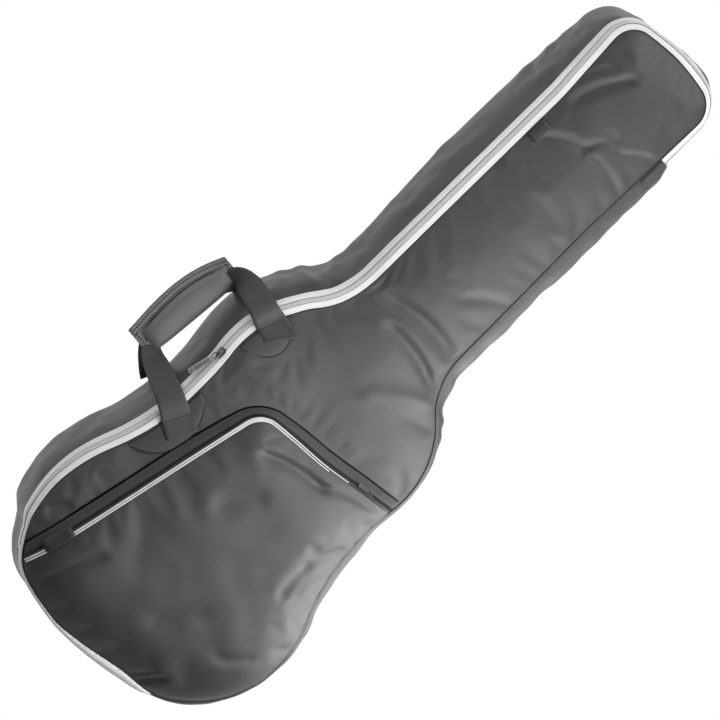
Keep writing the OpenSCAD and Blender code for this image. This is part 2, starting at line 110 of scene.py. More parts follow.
floor_mesh = bpy.data.meshes.new("studio_floor")
floor_mesh.from_pydata([(-30, -30, 0), (30, -30, 0), (30, 30, 0), (-30, 30, 0)], [], [(0, 1, 2, 3)])
floor = bpy.data.objects.new("studio_floor", floor_mesh)
bpy.context.scene.collection.objects.link(floor)
floor_paint = bpy.data.materials.new("floor_paint")
floor_paint.use_nodes = True
paint = floor_paint.node_tree.nodes["Principled BSDF"]
paint.inputs["Base Color"].default_value = (0, 0, 0, 1)
paint.inputs["Specular IOR Level"].default_value = 0
paint.inputs["Emission Color"].default_value = (1, 1, 1, 1)
paint.inputs["Emission Strength"].default_value = 1.0
paint.inputs["Roughness"].default_value = 0.9
floor_mesh.materials.append(floor_paint)
floor.visible_diffuse = False
floor.visible_glossy = False

# ---------------------------------------------------------------------------
# The bag's plan: one closed rim of tangent arcs, sewn from the lower bout
# through the waist, upper bout and neck to the head.  Every cloth piece of
# the case is cut to it.
# ---------------------------------------------------------------------------
back_low, back_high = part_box("back_shell")
HALF_BOUT = (back_high.x - back_low.x) / 2
LENGTH = back_high.y - back_low.y
FOOT = back_low.y
HALF_WAIST = 0.172
HALF_UPPER = 0.180
HALF_NECK = 0.099
STEP = 0.004


def crossing(a, ra, b, rb):
    """The right-hand point at distance ra from a and rb from b."""
    gap = b - a
    d = np.hypot(*gap)
    u = gap / d
    along = (ra ** 2 - rb ** 2 + d ** 2) / (2 * d)
    return a + u * along + np.array((-u[1], u[0])) * math.sqrt(ra ** 2 - along ** 2)


def bearing(v):
    return math.atan2(v[1], v[0])


def rim_side(corner_r, bottom_x):
    """Points and outward normals up one side, from the bottom end to the head."""
    bottom_r, bout_r, shoulder_r, head_corner_r, head_r = 0.48, 0.25, 0.09, 0.05, 0.45
    bottom = np.array((bottom_x, FOOT + bottom_r))
    bout = np.array((HALF_BOUT - bout_r, FOOT + 0.133))
    waist_r = (0.048 ** 2 + 0.221 ** 2) / 0.096 - bout_r
    waist = np.array((HALF_WAIST + waist_r, FOOT + 0.354))
    upper_r = (0.008 ** 2 + 0.083 ** 2) / 0.016 - waist_r
    upper = np.array((HALF_UPPER - upper_r, FOOT + 0.437))
    sx = HALF_NECK + shoulder_r
    shoulder = np.array((sx, upper[1] + math.sqrt((upper_r + shoulder_r) ** 2 - (sx - upper[0]) ** 2)))
    head = np.array((0, FOOT + LENGTH - head_r))
    hx = HALF_NECK - head_corner_r
    head_corner = np.array((hx, head[1] + math.sqrt((head_r - head_corner_r) ** 2 - hx ** 2)))
    corner = crossing(bottom, bottom_r - corner_r, bout, bout_r - corner_r)
    a1, a2, a3 = bearing(corner - bottom), bearing(corner - bout), bearing(waist - bout)
    a4, a5, a6 = bearing(upper - waist), bearing(shoulder - upper), bearing(head_corner - head)
    half_turn = math.pi
    pieces = [(bottom, bottom_r, -half_turn / 2, a1, 1), (corner, corner_r, a1, a2, 1),
              (bout, bout_r, a2, a3, 1), (waist, waist_r, a3 + half_turn, a4, -1),
              (upper, upper_r, a4 - half_turn, a5, 1), (shoulder, shoulder_r, a5 + half_turn, half_turn, -1),
              (None, shoulder[1], head_corner[1], 0, 1), (head_corner, head_corner_r, 0, a6, 1),
              (head, head_r, a6, half_turn / 2, 1)]
    points, normals = [], []
    for centre, r, start, end, sense in pieces:
        if centre is None:
            n = round((start - r) / STEP)
            t = np.arange(n) / n
            points.append(np.column_stack((np.full(n, HALF_NECK), r + (start - r) * t)))
            normals.append(np.tile((1.0, 0.0), (n, 1)))
            continue
        n = max(3, round(abs(end - start) * r / STEP))
        a = start + (end - start) * np.arange(n) / n
        ray = np.column_stack((np.cos(a), np.sin(a)))
        points.append(centre + r * ray)
        normals.append(ray * sense)
    return np.vstack(points), np.vstack(normals)


BOTTOM_X = -0.035
right_p, right_n = rim_side(0.150, BOTTOM_X)
left_p, left_n = rim_side(0.085, -BOTTOM_X)
flip = np.array((-1.0, 1.0))
head_tip = np.array([[0.0, FOOT + LENGTH]])
rim = np.vstack((right_p, head_tip, (left_p * flip)[:0:-1]))
rim_out = np.vstack((right_n, [[0.0, 1.0]], (left_n * flip)[:0:-1]))
COUNT = len(rim)
steps = np.hypot(*(np.roll(rim, -1, 0) - rim).T)
rim_s = np.concatenate(([0], np.cumsum(steps)[:-1]))
RIM_LENGTH = steps.sum()


def near_rim(x, y):
    """The rim station nearest to a place."""
    return int(np.argmin(np.hypot(rim[:, 0] - x, rim[:, 1] - y)))


# The stations between which the main zipper runs, over the head
ZIP_START = near_rim(HALF_NECK, 0.429)
ZIP_END = near_rim(-0.168, -0.525)


def along_rim(marks):
    """A value for each station, through (station, value) marks round the closed rim, then smoothed."""
    marks = sorted((rim_s[i], v) for i, v in marks)
    s = np.array([m[0] for m in marks])
    v = np.array([m[1] for m in marks])
    s = np.concatenate(([s[-1] - RIM_LENGTH], s, [s[0] + RIM_LENGTH]))
    v = np.concatenate(([v[-1]], v, [v[0]]))
    k = np.clip(np.searchsorted(s, rim_s, side="right") - 1, 0, len(s) - 2)
    t = (rim_s - s[k]) / (s[k + 1] - s[k])
    value = v[k] * (1 - t) + v[k + 1] * t
    spread = np.hanning(11)[1:-1]
    return np.convolve(np.concatenate((value[-4:], value, value[:4])), spread / spread.sum(), mode="valid")


# The stuffed bag swells beyond its flat pattern in places and pulls in at others
swell = along_rim([(near_rim(0, FOOT), 0.0055), (near_rim(0.09, -0.545), 0.0065),
                   (near_rim(0.16, -0.51), 0.0060), (near_rim(0.2, -0.44), -0.0020),
                   (near_rim(0.215, -0.37), -0.0025), (near_rim(0.19, -0.28), 0.0035),
                   (near_rim(0.172, -0.2), 0.0025), (near_rim(0.18, -0.12), -0.0080),
                   (near_rim(0.16, -0.06), -0.0080), (near_rim(0.1, 0.04), 0.0020),
                   (near_rim(0.099, 0.14), 0.0075), (near_rim(0.099, 0.418), 0.0120),
                   (near_rim(0.099, 0.436), 0.0000), (near_rim(0.085, 0.525), -0.0040),
                   (near_rim(0.03, 0.55), 0.0060), (near_rim(-0.05, 0.55), -0.0045),
                   (near_rim(-0.09, 0.51), 0.0005), (near_rim(-0.099, 0.4), 0.0090),
                   (near_rim(-0.099, 0.25), 0.0120), (near_rim(-0.099, 0.1), 0.0060),
                   (near_rim(-0.13, 0.0), 0.0050), (near_rim(-0.155, -0.028), -0.0015),
                   (near_rim(-0.18, -0.12), -0.0055), (near_rim(-0.172, -0.2), -0.0045),
                   (near_rim(-0.195, -0.30), -0.0095), (near_rim(-0.215, -0.38), -0.0130),
                   (near_rim(-0.22, -0.45), -0.0200), (near_rim(-0.198, -0.507), -0.0240),
                   (near_rim(-0.184, -0.521), -0.0255), (near_rim(-0.159, -0.535), -0.0125),
                   (near_rim(-0.144, -0.540), -0.0075), (near_rim(-0.1, -0.548), 0.0015),
                   (near_rim(-0.05, -0.551), 0.0045)])
# How far the front seam lies in from the rim
seam_in = swell + along_rim([
    (near_rim(-0.019, FOOT), 0.0063), (near_rim(0.028, -0.548), 0.0096), (near_rim(0.055, -0.544), 0.0095),
    (near_rim(0.068, -0.541), 0.0080), (near_rim(0.085, -0.537), 0.0035), (near_rim(0.106, -0.531), 0.0010),
    (near_rim(0.18, -0.49), 0.006),
    (near_rim(0.21, -0.36), 0.011), (near_rim(0.172, -0.2), 0.013), (near_rim(0.18, -0.11), 0.015),
    (near_rim(0.1, 0.05), 0.019), (near_rim(0.099, 0.3), 0.021), (near_rim(0.08, 0.535), 0.014),
    (near_rim(0, 0.55), 0.012), (near_rim(-0.08, 0.535), 0.016), (near_rim(-0.099, 0.4), 0.025),
    (near_rim(-0.099, 0.15), 0.022), (near_rim(-0.1, 0.05), 0.021), (near_rim(-0.15, -0.03), 0.034),
    (near_rim(-0.18, -0.11), 0.033), (near_rim(-0.172, -0.2), 0.029), (near_rim(-0.2, -0.32), 0.033),
    (near_rim(-0.22, -0.42), 0.030), (near_rim(-0.2, -0.495), 0.033), (near_rim(-0.184, -0.521), 0.029),
    (near_rim(-0.159, -0.535), 0.020), (near_rim(-0.144, -0.540), 0.0125), (near_rim(-0.132, -0.542), 0.0100),
    (near_rim(-0.1, -0.548), 0.0070), (near_rim(-0.05, -0.551), 0.0038)])
rim = rim + rim_out * swell[:, None]
SEAM_Z = 0.111
SIDE_Z = 0.060
BACK_SEAM_Z = 0.005
# How far the wall bulges beyond the rim; under the light piping it tucks in
bulges = along_rim([(near_rim(0, FOOT), -0.003), (near_rim(0.12, -0.54), -0.001),
                    (near_rim(0.19, -0.47), 0.002), (near_rim(0, 0.55), 0.002),
                    (near_rim(-0.21, -0.42), 0.002), (near_rim(-0.213, -0.478), 0.0),
                    (near_rim(-0.2, -0.50), -0.006), (near_rim(-0.184, -0.521), -0.004),
                    (near_rim(-0.159, -0.535), -0.012), (near_rim(-0.144, -0.540), -0.012),
                    (near_rim(-0.1, -0.548), -0.006), (near_rim(-0.05, -0.551), -0.004)])
# How far the back seam lies in from the rim; the lower left corner is undercut
back_in = along_rim([(near_rim(0, 0.55), 0.006), (near_rim(-0.22, -0.43), 0.006),
                     (near_rim(-0.213, -0.478), 0.010), (near_rim(-0.203, -0.50), 0.020),
                     (near_rim(-0.184, -0.521), 0.018), (near_rim(-0.159, -0.535), 0.026),
                     (near_rim(-0.144, -0.540), 0.026), (near_rim(-0.132, -0.542), 0.022),
                     (near_rim(-0.1, -0.548), 0.012), (near_rim(-0.05, -0.551), 0.006)])


# The shoulder is squarer where it carries the light piping
shoulder = along_rim([(near_rim(-0.2, -0.47), 0.95), (near_rim(-0.13, -0.542), 0.62),
                      (near_rim(0.1, -0.533), 0.62), (near_rim(0.16, -0.51), 0.95),
                      (near_rim(0, 0.55), 0.95)])
# The wall stands at least 3 mm outside the front seam
bulges = np.maximum(bulges, 0.003 - seam_in)


def profile(a, bulge, square, tuck, count=64):
    """Gusset section at one station: (outwards, height) from the front seam round to the back seam."""
    f = np.linspace(0, 1, count) * math.pi / 2
    up_d = -a + (a + bulge) * np.sin(f) ** square
    up_z = SIDE_Z + (SEAM_Z - SIDE_Z) * np.cos(f) ** 0.72
    low_d = -tuck + (bulge + tuck) * np.cos(f) ** (0.6 + 45 * min(max(tuck - 0.008, 0), 0.015))
    low_z = SIDE_Z - (SIDE_Z - BACK_SEAM_Z) * np.sin(f) ** 0.9
    path = np.vstack((np.column_stack((up_d, up_z)), np.column_stack((low_d, low_z))[1:]))
    s = np.concatenate(([0], np.cumsum(np.hypot(*(path[1:] - path[:-1]).T))))
    return s, path


profiles = [profile(*sizes) for sizes in zip(seam_in, bulges, shoulder, back_in)]


def side_point(i, s, lift=0.0):
    """The place on the gusset at station i, a distance s from the front seam, lifted off it."""
    ss, path = profiles[i]
    d = np.interp(s, ss, path[:, 0])
    z = np.interp(s, ss, path[:, 1])
    if lift:
        e = 0.002
        dd = np.interp(s + e, ss, path[:, 0]) - np.interp(s - e, ss, path[:, 0])
        dz = np.interp(s + e, ss, path[:, 1]) - np.interp(s - e, ss, path[:, 1])
        size = math.hypot(dd, dz)
        d, z = d - lift * dz / size, z + lift * dd / size
    x, y = rim[i] + rim_out[i] * d
    return x, y, z


# ---------------------------------------------------------------------------
# Gusset: padded side wall of satin nylon, sewn to the front panel along the
# front seam and to the back panel along the back seam.  Where the zipper
# runs it starts at a folded hem beside the zipper tape.
# ---------------------------------------------------------------------------
NYLON = (0.038, 0.038, 0.040)
NYLON_PITCH = 0.0007
HEM_S = 0.0225
SIDE_COLS = 40


def grid_object(name, places, uv, wrap=False, flip_faces=False):
    """A smooth mesh of quads through rows of places, with its cloth lengths as a UV map."""
    rows, cols = places.shape[:2]
    turns = rows if wrap else rows - 1
    r = np.arange(turns)[:, None]
    c = np.arange(cols - 1)[None, :]
    nxt = (r + 1) % rows
    quads = np.stack((r * cols + c, r * cols + c + 1, nxt * cols + c + 1, nxt * cols + c), -1).reshape(-1, 4)
    corners = np.stack((np.stack((r + 0 * c, c + 0 * r), -1), np.stack((r + 0 * c, c + 1 + 0 * r), -1),
                        np.stack((r + 1 + 0 * c, c + 1 + 0 * r), -1),
                        np.stack((r + 1 + 0 * c, c + 0 * r), -1)), -2).reshape(-1, 4, 2)
    if wrap:
        uv = np.concatenate((uv, uv[:1] + np.array((RIM_LENGTH, 0))), 0)
    if flip_faces:
        quads, corners = quads[:, ::-1], corners[:, ::-1]
    mesh = bpy.data.meshes.new(name)
    mesh.from_pydata(places.reshape(-1, 3).tolist(), [], quads.tolist())
    layer = mesh.uv_layers.new(name="cloth")
    flat = uv[corners[..., 0], corners[..., 1]].reshape(-1, 2)
    layer.data.foreach_set("uv", flat.astype(np.float32).ravel())
    mesh.shade_smooth()
    obj = bpy.data.objects.new(name, mesh)
    bpy.context.scene.collection.objects.link(obj)
    return obj


def cloth_lengths(places):
    """UVs in metres: lengths along the rows and down the columns of a grid."""
    along = np.linalg.norm(np.diff(places, axis=0), axis=2).mean(1)
    across = np.linalg.norm(np.diff(places, axis=1), axis=2)
    u = np.concatenate(([0], np.cumsum(along)))[:, None] + np.zeros(places.shape[1])
    v = np.concatenate((np.zeros((places.shape[0], 1)), np.cumsum(across, 1)), 1)
    return np.stack((u, v), -1)


def woven(name, colour, pitch, roughness, relief=0.0002, sheen=0.0, mottle=0.16, twill=1.0):
    """Woven cloth: warp and weft ridges from the UV map, with slow changes of shade and gloss."""
    material = bpy.data.materials.new(name)
    material.use_nodes = True
    nodes, links = material.node_tree.nodes, material.node_tree.links
    shader = nodes["Principled BSDF"]
    shader.inputs["Sheen Weight"].default_value = sheen
    shader.inputs["Sheen Roughness"].default_value = 0.4
    shader.inputs["Specular IOR Level"].default_value = 0.5
    uv = nodes.new("ShaderNodeUVMap")
    uv.uv_map = "cloth"
    ridges = []
    for direction in ("X", "Y"):
        wave = nodes.new("ShaderNodeTexWave")
        wave.bands_direction = direction
        wave.inputs["Scale"].default_value = 2 * math.pi / (20 * pitch * (twill if direction == "Y" else 1))
        wave.inputs["Distortion"].default_value = 0.4
        wave.inputs["Detail Scale"].default_value = 2.0
        links.new(uv.outputs["UV"], wave.inputs["Vector"])
        ridges.append(wave.outputs["Fac"])
    weave = nodes.new("ShaderNodeMath")
    weave.operation = "MULTIPLY"
    links.new(ridges[0], weave.inputs[0])
    links.new(ridges[1], weave.inputs[1])
    place = nodes.new("ShaderNodeTexCoord")
    cloud = nodes.new("ShaderNodeTexNoise")
    cloud.inputs["Scale"].default_value = 9.0
    cloud.inputs["Detail"].default_value = 5.0
    links.new(place.outputs["Object"], cloud.inputs["Vector"])
    shade = nodes.new("ShaderNodeMixRGB")
    shade.blend_type = "MIX"
    shade.inputs["Color1"].default_value = (*[c * (1 - mottle) for c in colour], 1)
    shade.inputs["Color2"].default_value = (*[c * (1 + mottle) for c in colour], 1)
    grain = nodes.new("ShaderNodeTexNoise")
    grain.inputs["Scale"].default_value = 420.0
    grain.inputs["Detail"].default_value = 2.0
    links.new(place.outputs["Object"], grain.inputs["Vector"])
    slub = nodes.new("ShaderNodeMath")
    slub.operation = "MULTIPLY_ADD"
    slub.inputs[1].default_value = 0.5
    links.new(grain.outputs["Fac"], slub.inputs[0])
    links.new(cloud.outputs["Fac"], slub.inputs[2])
    centred = nodes.new("ShaderNodeMath")
    centred.operation = "SUBTRACT"
    centred.inputs[1].default_value = 0.25
    links.new(slub.outputs["Value"], centred.inputs[0])
    links.new(centred.outputs["Value"], shade.inputs["Fac"])
    threads = nodes.new("ShaderNodeMixRGB")
    threads.blend_type = "MULTIPLY"
    threads.inputs["Fac"].default_value = 0.35
    links.new(shade.outputs["Color"], threads.inputs["Color1"])
    links.new(weave.outputs["Value"], threads.inputs["Color2"])
    links.new(threads.outputs["Color"], shader.inputs["Base Color"])
    gloss = nodes.new("ShaderNodeMapRange")
    gloss.inputs["To Min"].default_value = roughness - 0.06
    gloss.inputs["To Max"].default_value = roughness + 0.06
    links.new(cloud.outputs["Fac"], gloss.inputs["Value"])
    links.new(gloss.outputs["Result"], shader.inputs["Roughness"])
    relief_node = nodes.new("ShaderNodeBump")
    relief_node.inputs["Strength"].default_value = 0.5
    relief_node.inputs["Distance"].default_value = relief
    links.new(weave.outputs["Value"], relief_node.inputs["Height"])
    links.new(relief_node.outputs["Normal"], shader.inputs["Normal"])
    return material


def soft_noise(points, size, seed):
    """Smooth noise from -1 to 1 at each place."""
    shift = Vector((seed * 7.3, seed * 3.1, seed * 1.7))
    return np.array([noise.noise(Vector(p) / size + shift) for p in points])


def fold_lines(xy, folds):
    """Heights of soft creases, each (x0, y0, x1, y1, width, depth): a valley beside a roll of cloth."""
    height = np.zeros(len(xy))
    for x0, y0, x1, y1, width, depth in folds:
        a, b = np.array((x0, y0)), np.array((x1, y1))
        run = b - a
        length = np.hypot(*run)
        t = ((xy - a) @ run) / length ** 2
        bow = 0.06 * length * np.sin(np.clip(t, 0, 1) * math.pi)
        off = ((xy - a) @ np.array((-run[1], run[0]))) / length - bow
        ends = np.exp(-(np.maximum(np.abs(t - 0.5) - 0.32, 0) / 0.16) ** 2)
        ridge = 0.20 * np.exp(-((off - 2.0 * width) / (1.7 * width)) ** 2)
        height += depth * ends * (ridge - np.exp(-(off / width) ** 2))
    return height


nylon = woven("satin_nylon", NYLON, NYLON_PITCH, 0.42, sheen=0.08)

zipped = np.zeros(COUNT, bool)
zipped[ZIP_START:ZIP_END + 1] = True
hem_start = np.where(zipped, HEM_S, 0.0)
ease = 4
kernel = np.hanning(2 * ease + 1)[1:-1]
hem_start = np.convolve(np.concatenate((hem_start[-ease:], hem_start, hem_start[:ease])),
                        kernel / kernel.sum(), mode="same")[ease:-ease]

side = np.zeros((COUNT, SIDE_COLS, 3))
for i in range(COUNT):
    end = profiles[i][0][-1]
    spread = np.linspace(0, 1, SIDE_COLS) ** 1.15
    side[i] = [side_point(i, hem_start[i] + (end - hem_start[i]) * t, 0.0004) for t in spread]
flat_side = side.reshape(-1, 3)
share = np.tile(np.linspace(0, 1, SIDE_COLS), COUNT)
stay = np.clip(share / 0.14, 0, 1) * np.clip((1 - share) / 0.12, 0, 1)
puff = 0.0035 * soft_noise(flat_side * (1, 1, 0.45), 0.075, 3) + 0.0022 * soft_noise(flat_side, 0.03, 5)
# Short gathers where the wall turns sharply: at the shoulders and beside the head
gathers = along_rim([(near_rim(-0.03, -0.552), 0.0), (near_rim(0.15, -0.035), 0.0),
                     (near_rim(0.125, -0.005), 0.0022), (near_rim(0.1, 0.06), 0.0),
                     (near_rim(-0.099, 0.36), 0.0), (near_rim(-0.099, 0.42), 0.0022),
                     (near_rim(-0.095, 0.50), 0.0006), (near_rim(-0.099, 0.20), 0.0),
                     (near_rim(-0.105, 0.06), 0.0008), (near_rim(-0.125, 0.005), 0.0024),
                     (near_rim(-0.165, -0.06), 0.0004), (near_rim(-0.172, -0.2), 0.0)])
wave = np.sin(np.repeat(rim_s / 0.0062, SIDE_COLS) + 5 * share + 2.2 * soft_noise(flat_side, 0.04, 14))
puff += np.repeat(gathers, SIDE_COLS) * wave
out3 = np.repeat(np.column_stack((rim_out, np.zeros(COUNT))), SIDE_COLS, 0)
side = (flat_side + out3 * (puff * stay)[:, None]).reshape(side.shape)
case_side = grid_object("case_side", side, cloth_lengths(side), wrap=True)
case_side.data.materials.append(nylon)
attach(case_side, "root")
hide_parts("gusset_shell", "edge_fabric", "zip_end_fold")

# ---------------------------------------------------------------------------
# Front panel: one padded nylon panel, crowned by its foam and sewn all round.
# On the real case it bends along the line from the zipper's lower end to its head end when the case is
# opened.
# ---------------------------------------------------------------------------
ACROSS = 88
ALONG = 270
CROWN = 0.0120
CROWN_REACH = 0.036
# Where the pocket's zipped corner lies, and which way its left and top edges run
POCKET_CORNER = np.array((-0.040, -0.198))
POCKET_R = 0.036
POCKET_SLANT = math.radians(13)
POCKET_RISE = math.radians(5.7)
left_dir = np.array((-math.sin(POCKET_SLANT), -math.cos(POCKET_SLANT)))
left_out = np.array((-math.cos(POCKET_SLANT), math.sin(POCKET_SLANT)))
top_dir = np.array((math.cos(POCKET_RISE), math.sin(POCKET_RISE)))
top_out = np.array((-math.sin(POCKET_RISE), math.cos(POCKET_RISE)))
# Where the handle's webbing is sewn to the panel
TAB_ENDS = ((-0.118, -0.257), (-0.116, -0.081))

seam_xy = rim - rim_out * seam_in[:, None]
seam = np.column_stack((seam_xy, np.full(COUNT, SEAM_Z)))
foot_right, foot_left = near_rim(0.19, -0.485), near_rim(-0.2, -0.50)
head_right, head_left = near_rim(0.09, 0.535), near_rim(-0.09, 0.535)


def at_heights(line, count):
    """Points on a side of the seam at even heights."""
    order = np.argsort(line[:, 1])
    y = np.linspace(line[:, 1].min(), line[:, 1].max(), count)
    return np.column_stack([np.interp(y, line[order, 1], line[order, k]) for k in range(3)])


def at_shares(line, count):
    """Points on a line at even lengths."""
    s = np.concatenate(([0], np.cumsum(np.linalg.norm(np.diff(line, axis=0), axis=1))))
    t = np.linspace(0, s[-1], count)
    return np.column_stack([np.interp(t, s, line[:, k]) for k in range(3)])


def patch(left, right, low, high):
    """A sheet spanned between four edges that share their corners."""
    v = np.linspace(0, 1, len(left))[:, None, None]
    u = np.linspace(0, 1, len(low))[None, :, None]
    sheet = (1 - u) * left[:, None] + u * right[:, None] + (1 - v) * low[None] + v * high[None]
    corners = ((1 - u) * (1 - v) * low[0] + u * (1 - v) * low[-1] + (1 - u) * v * high[0] + u * v * high[-1])
    return sheet - corners


def panel_patch(loop, across, along):
    """A sheet that fills a closed line laid round the case."""
    left = at_heights(loop[head_left:foot_left + 1], along)
    right = at_heights(loop[foot_right:head_right + 1], along)
    low = at_shares(np.vstack((loop[foot_left:], loop[:foot_right + 1])), across)
    high = at_shares(loop[head_right:head_left + 1][::-1], across)
    left[0], left[-1], right[0], right[-1] = low[0], high[0], low[-1], high[-1]
    return patch(left, right, low, high)


def seam_distance(xy, line=None):
    """How far each place lies from the points of the front seam, or of another line."""
    line = seam_xy if line is None else line
    return np.concatenate([np.sqrt(((part[:, None] - line[None]) ** 2).sum(2)).min(1)
                           for part in np.array_split(xy, 24)])


PANEL_FOLDS = [
    (-0.063, 0.397, -0.022, 0.485, 0.0075, 0.0046), (-0.082, 0.426, -0.055, 0.472, 0.0060, 0.0024),
    (-0.062, 0.338, -0.004, 0.374, 0.0070, 0.0042), (-0.010, 0.364, 0.018, 0.408, 0.0060, 0.0022),
    (-0.004, 0.412, 0.038, 0.398, 0.0055, 0.0026), (0.028, 0.392, 0.084, 0.430, 0.0055, 0.0026),
    (0.004, 0.372, 0.078, 0.362, 0.0055, 0.0022), (0.035, 0.500, 0.066, 0.452, 0.0090, 0.0014),
    (-0.058, 0.050, 0.070, 0.062, 0.0120, 0.0040), (-0.034, 0.028, 0.082, 0.012, 0.0085, 0.0046),
    (0.020, 0.121, 0.078, 0.160, 0.0085, 0.0016), (0.010, -0.064, 0.100, -0.002, 0.0100, -0.0024),
    (0.080, -0.040, 0.125, -0.030, 0.0075, 0.0016), (-0.140, -0.440, -0.100, -0.350, 0.0120, 0.0020),
    (-0.176, -0.452, -0.155, -0.425, 0.0060, 0.0026), (0.120, -0.090, 0.158, -0.118, 0.0075, 0.0014)]

cover = panel_patch(seam, ACROSS, ALONG)
flat_cover = cover.reshape(-1, 3)
edge_gap = seam_distance(flat_cover[:, :2])
rise = CROWN * (1 - np.exp(-edge_gap / CROWN_REACH))
lumps = 0.0016 * soft_noise(flat_cover, 0.12, 1) + 0.0004 * soft_noise(flat_cover, 0.035, 2)
creases = fold_lines(flat_cover[:, :2], PANEL_FOLDS)
fade = np.clip(edge_gap / 0.014, 0, 1)
flat_cover[:, 2] += rise + (lumps + creases) * fade
cover = flat_cover.reshape(cover.shape)


def settle(obj, pin, frames=16, pressure=1.0, excess=0.004, cap=0.0022, bend=6.0):
    """Runs the cloth solver with some excess cloth and keeps the result, no point moved beyond the cap."""
    rest = np.array([v.co for v in obj.data.vertices])
    group = obj.vertex_groups.new(name="sewn")
    for i, w in enumerate(pin):
        if w > 0:
            group.add([i], float(w), "REPLACE")
    cloth = obj.modifiers.new("cloth", "CLOTH")
    cloth.settings.quality = 5
    cloth.settings.mass = 0.2
    cloth.settings.tension_stiffness = 20
    cloth.settings.compression_stiffness = 20
    cloth.settings.bending_stiffness = bend
    cloth.settings.shrink_min = -excess
    cloth.settings.vertex_group_mass = "sewn"
    cloth.settings.pin_stiffness = 1.0
    cloth.settings.use_pressure = True
    cloth.settings.uniform_pressure_force = pressure
    cloth.settings.effector_weights.gravity = 0
    cloth.point_cache.frame_start = 1
    cloth.point_cache.frame_end = frames
    for f in range(1, frames + 1):
        bpy.context.scene.frame_set(f)
    settled = obj.evaluated_get(bpy.context.evaluated_depsgraph_get())
    moved = np.array([v.co for v in settled.data.vertices]) - rest
    size = np.linalg.norm(moved, axis=1)
    moved *= (cap * np.tanh(size / cap) / np.maximum(size, 1e-9))[:, None]
    obj.modifiers.remove(cloth)
    obj.vertex_groups.remove(group)
    bpy.context.scene.frame_set(1)
    obj.data.vertices.foreach_set("co", (rest + moved).astype(np.float32).ravel())
    obj.data.update()
    return rest + moved


front_panel = grid_object("front_panel", cover, cloth_lengths(cover), flip_faces=False)
# Held in the seam, under the pocket, and under the handle's two patches and the head's tab
flat_xy = flat_cover[:, :2]
below = ((flat_xy - (POCKET_CORNER + left_out * (POCKET_R + 0.022))) @ left_out < 0) & (
    (flat_xy - (POCKET_CORNER + top_out * (POCKET_R + 0.022))) @ top_out < 0)
patched = np.min([np.hypot(*(flat_xy - tab).T) for tab in (*TAB_ENDS, (-0.070, 0.347))], 0) < 0.036
sewn = np.where((edge_gap < 0.0045) | below | patched, 1.0, 0.0)
cover = settle(front_panel, sewn).reshape(cover.shape)
front_panel.data.materials.append(nylon)


def on_front(piece):
    """The piece is sewn to the front panel; its transform is baked into its mesh."""
    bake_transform(piece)


on_front(front_panel)
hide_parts("front_shell", "flap_shell", "front_foam", "flap_foam")

under = cover - np.array((0, 0, 0.009))
under_gap = edge_gap.reshape(under.shape[:2])
under[..., 2] += 0.007 * np.exp(-under_gap / 0.012)
front_lining = grid_object("front_lining_cloth", under, cloth_lengths(under), flip_faces=True)
lining = woven("lining_cloth", (0.30, 0.30, 0.31), 0.0005, 0.7, mottle=0.06)
front_lining.data.materials.append(lining)
on_front(front_lining)
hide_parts("front_lining", "flap_lining")

# ---------------------------------------------------------------------------
# Front seam: the panel, the zipper tape and the gusset meet here.  A thin black cord runs all round it: the
# dark piping of the seam, and painted shadow in its groove.
# ---------------------------------------------------------------------------
SEAM_CORD_R = 0.0011


def sweep(name, path, up, section, closed=False, size=1.0, wide=1.0, slant=None):
    """A bar of one section, (across, up) places in order, laid along a path.

    Its size and its width alone can change from station to station, and it can be cut on a slant.
    """
    tangent = np.gradient(path, axis=0)
    if closed:
        tangent = np.roll(path, -1, 0) - np.roll(path, 1, 0)
    tangent /= np.linalg.norm(tangent, axis=1)[:, None]
    across = np.cross(up, tangent)
    across /= np.linalg.norm(across, axis=1)[:, None]
    rise = np.cross(tangent, across)
    if slant is not None:
        across = across + tangent * slant[:, None]
    section = np.asarray(section, float)
    ring = np.vstack((section, section[:1]))
    size = np.broadcast_to(size, len(path))[:, None, None]
    wide = np.broadcast_to(wide, len(path))[:, None, None]
    places = path[:, None] + size * (wide * across[:, None] * ring[None, :, :1]
                                     + rise[:, None] * ring[None, :, 1:])
    rows, cols = len(path), len(section)
    lengths = cloth_lengths(places)
    mesh = bpy.data.meshes.new(name)
    verts = places[:, :-1].reshape(-1, 3)
    faces, uvs = [], []
    for i in range(rows if closed else rows - 1):
        j = (i + 1) % rows
        for k in range(cols):
            m = (k + 1) % cols
            faces.append((i * cols + k, j * cols + k, j * cols + m, i * cols + m))
            ahead = lengths[j] if j else lengths[i] + (STEP, 0)
            uvs += [lengths[i][k], ahead[k], ahead[k + 1], lengths[i][k + 1]]
    if not closed:
        faces += [tuple(range(cols)), tuple((rows - 1) * cols + k for k in range(cols - 1, -1, -1))]
        uvs += [lengths[0][k] for k in range(cols)] + [lengths[-1][k] for k in range(cols - 1, -1, -1)]
    mesh.from_pydata(verts.tolist(), [], faces)
    layer = mesh.uv_layers.new(name="cloth")
    layer.data.foreach_set("uv", np.asarray(uvs, np.float32).ravel())
    mesh.shade_smooth()
    obj = bpy.data.objects.new(name, mesh)
    bpy.context.scene.collection.objects.link(obj)
    return obj


def circle(radius, sides=10):
    a = np.arange(sides) / sides * 2 * math.pi
    return np.column_stack((np.cos(a), np.sin(a))) * radius


def side_line(stations, s, lift=0.0):
    """A line along the gusset at one distance, or one distance per station, from the front seam."""
    s = np.broadcast_to(s, len(stations))
    return np.array([side_point(i % COUNT, d, lift) for i, d in zip(stations, s)])


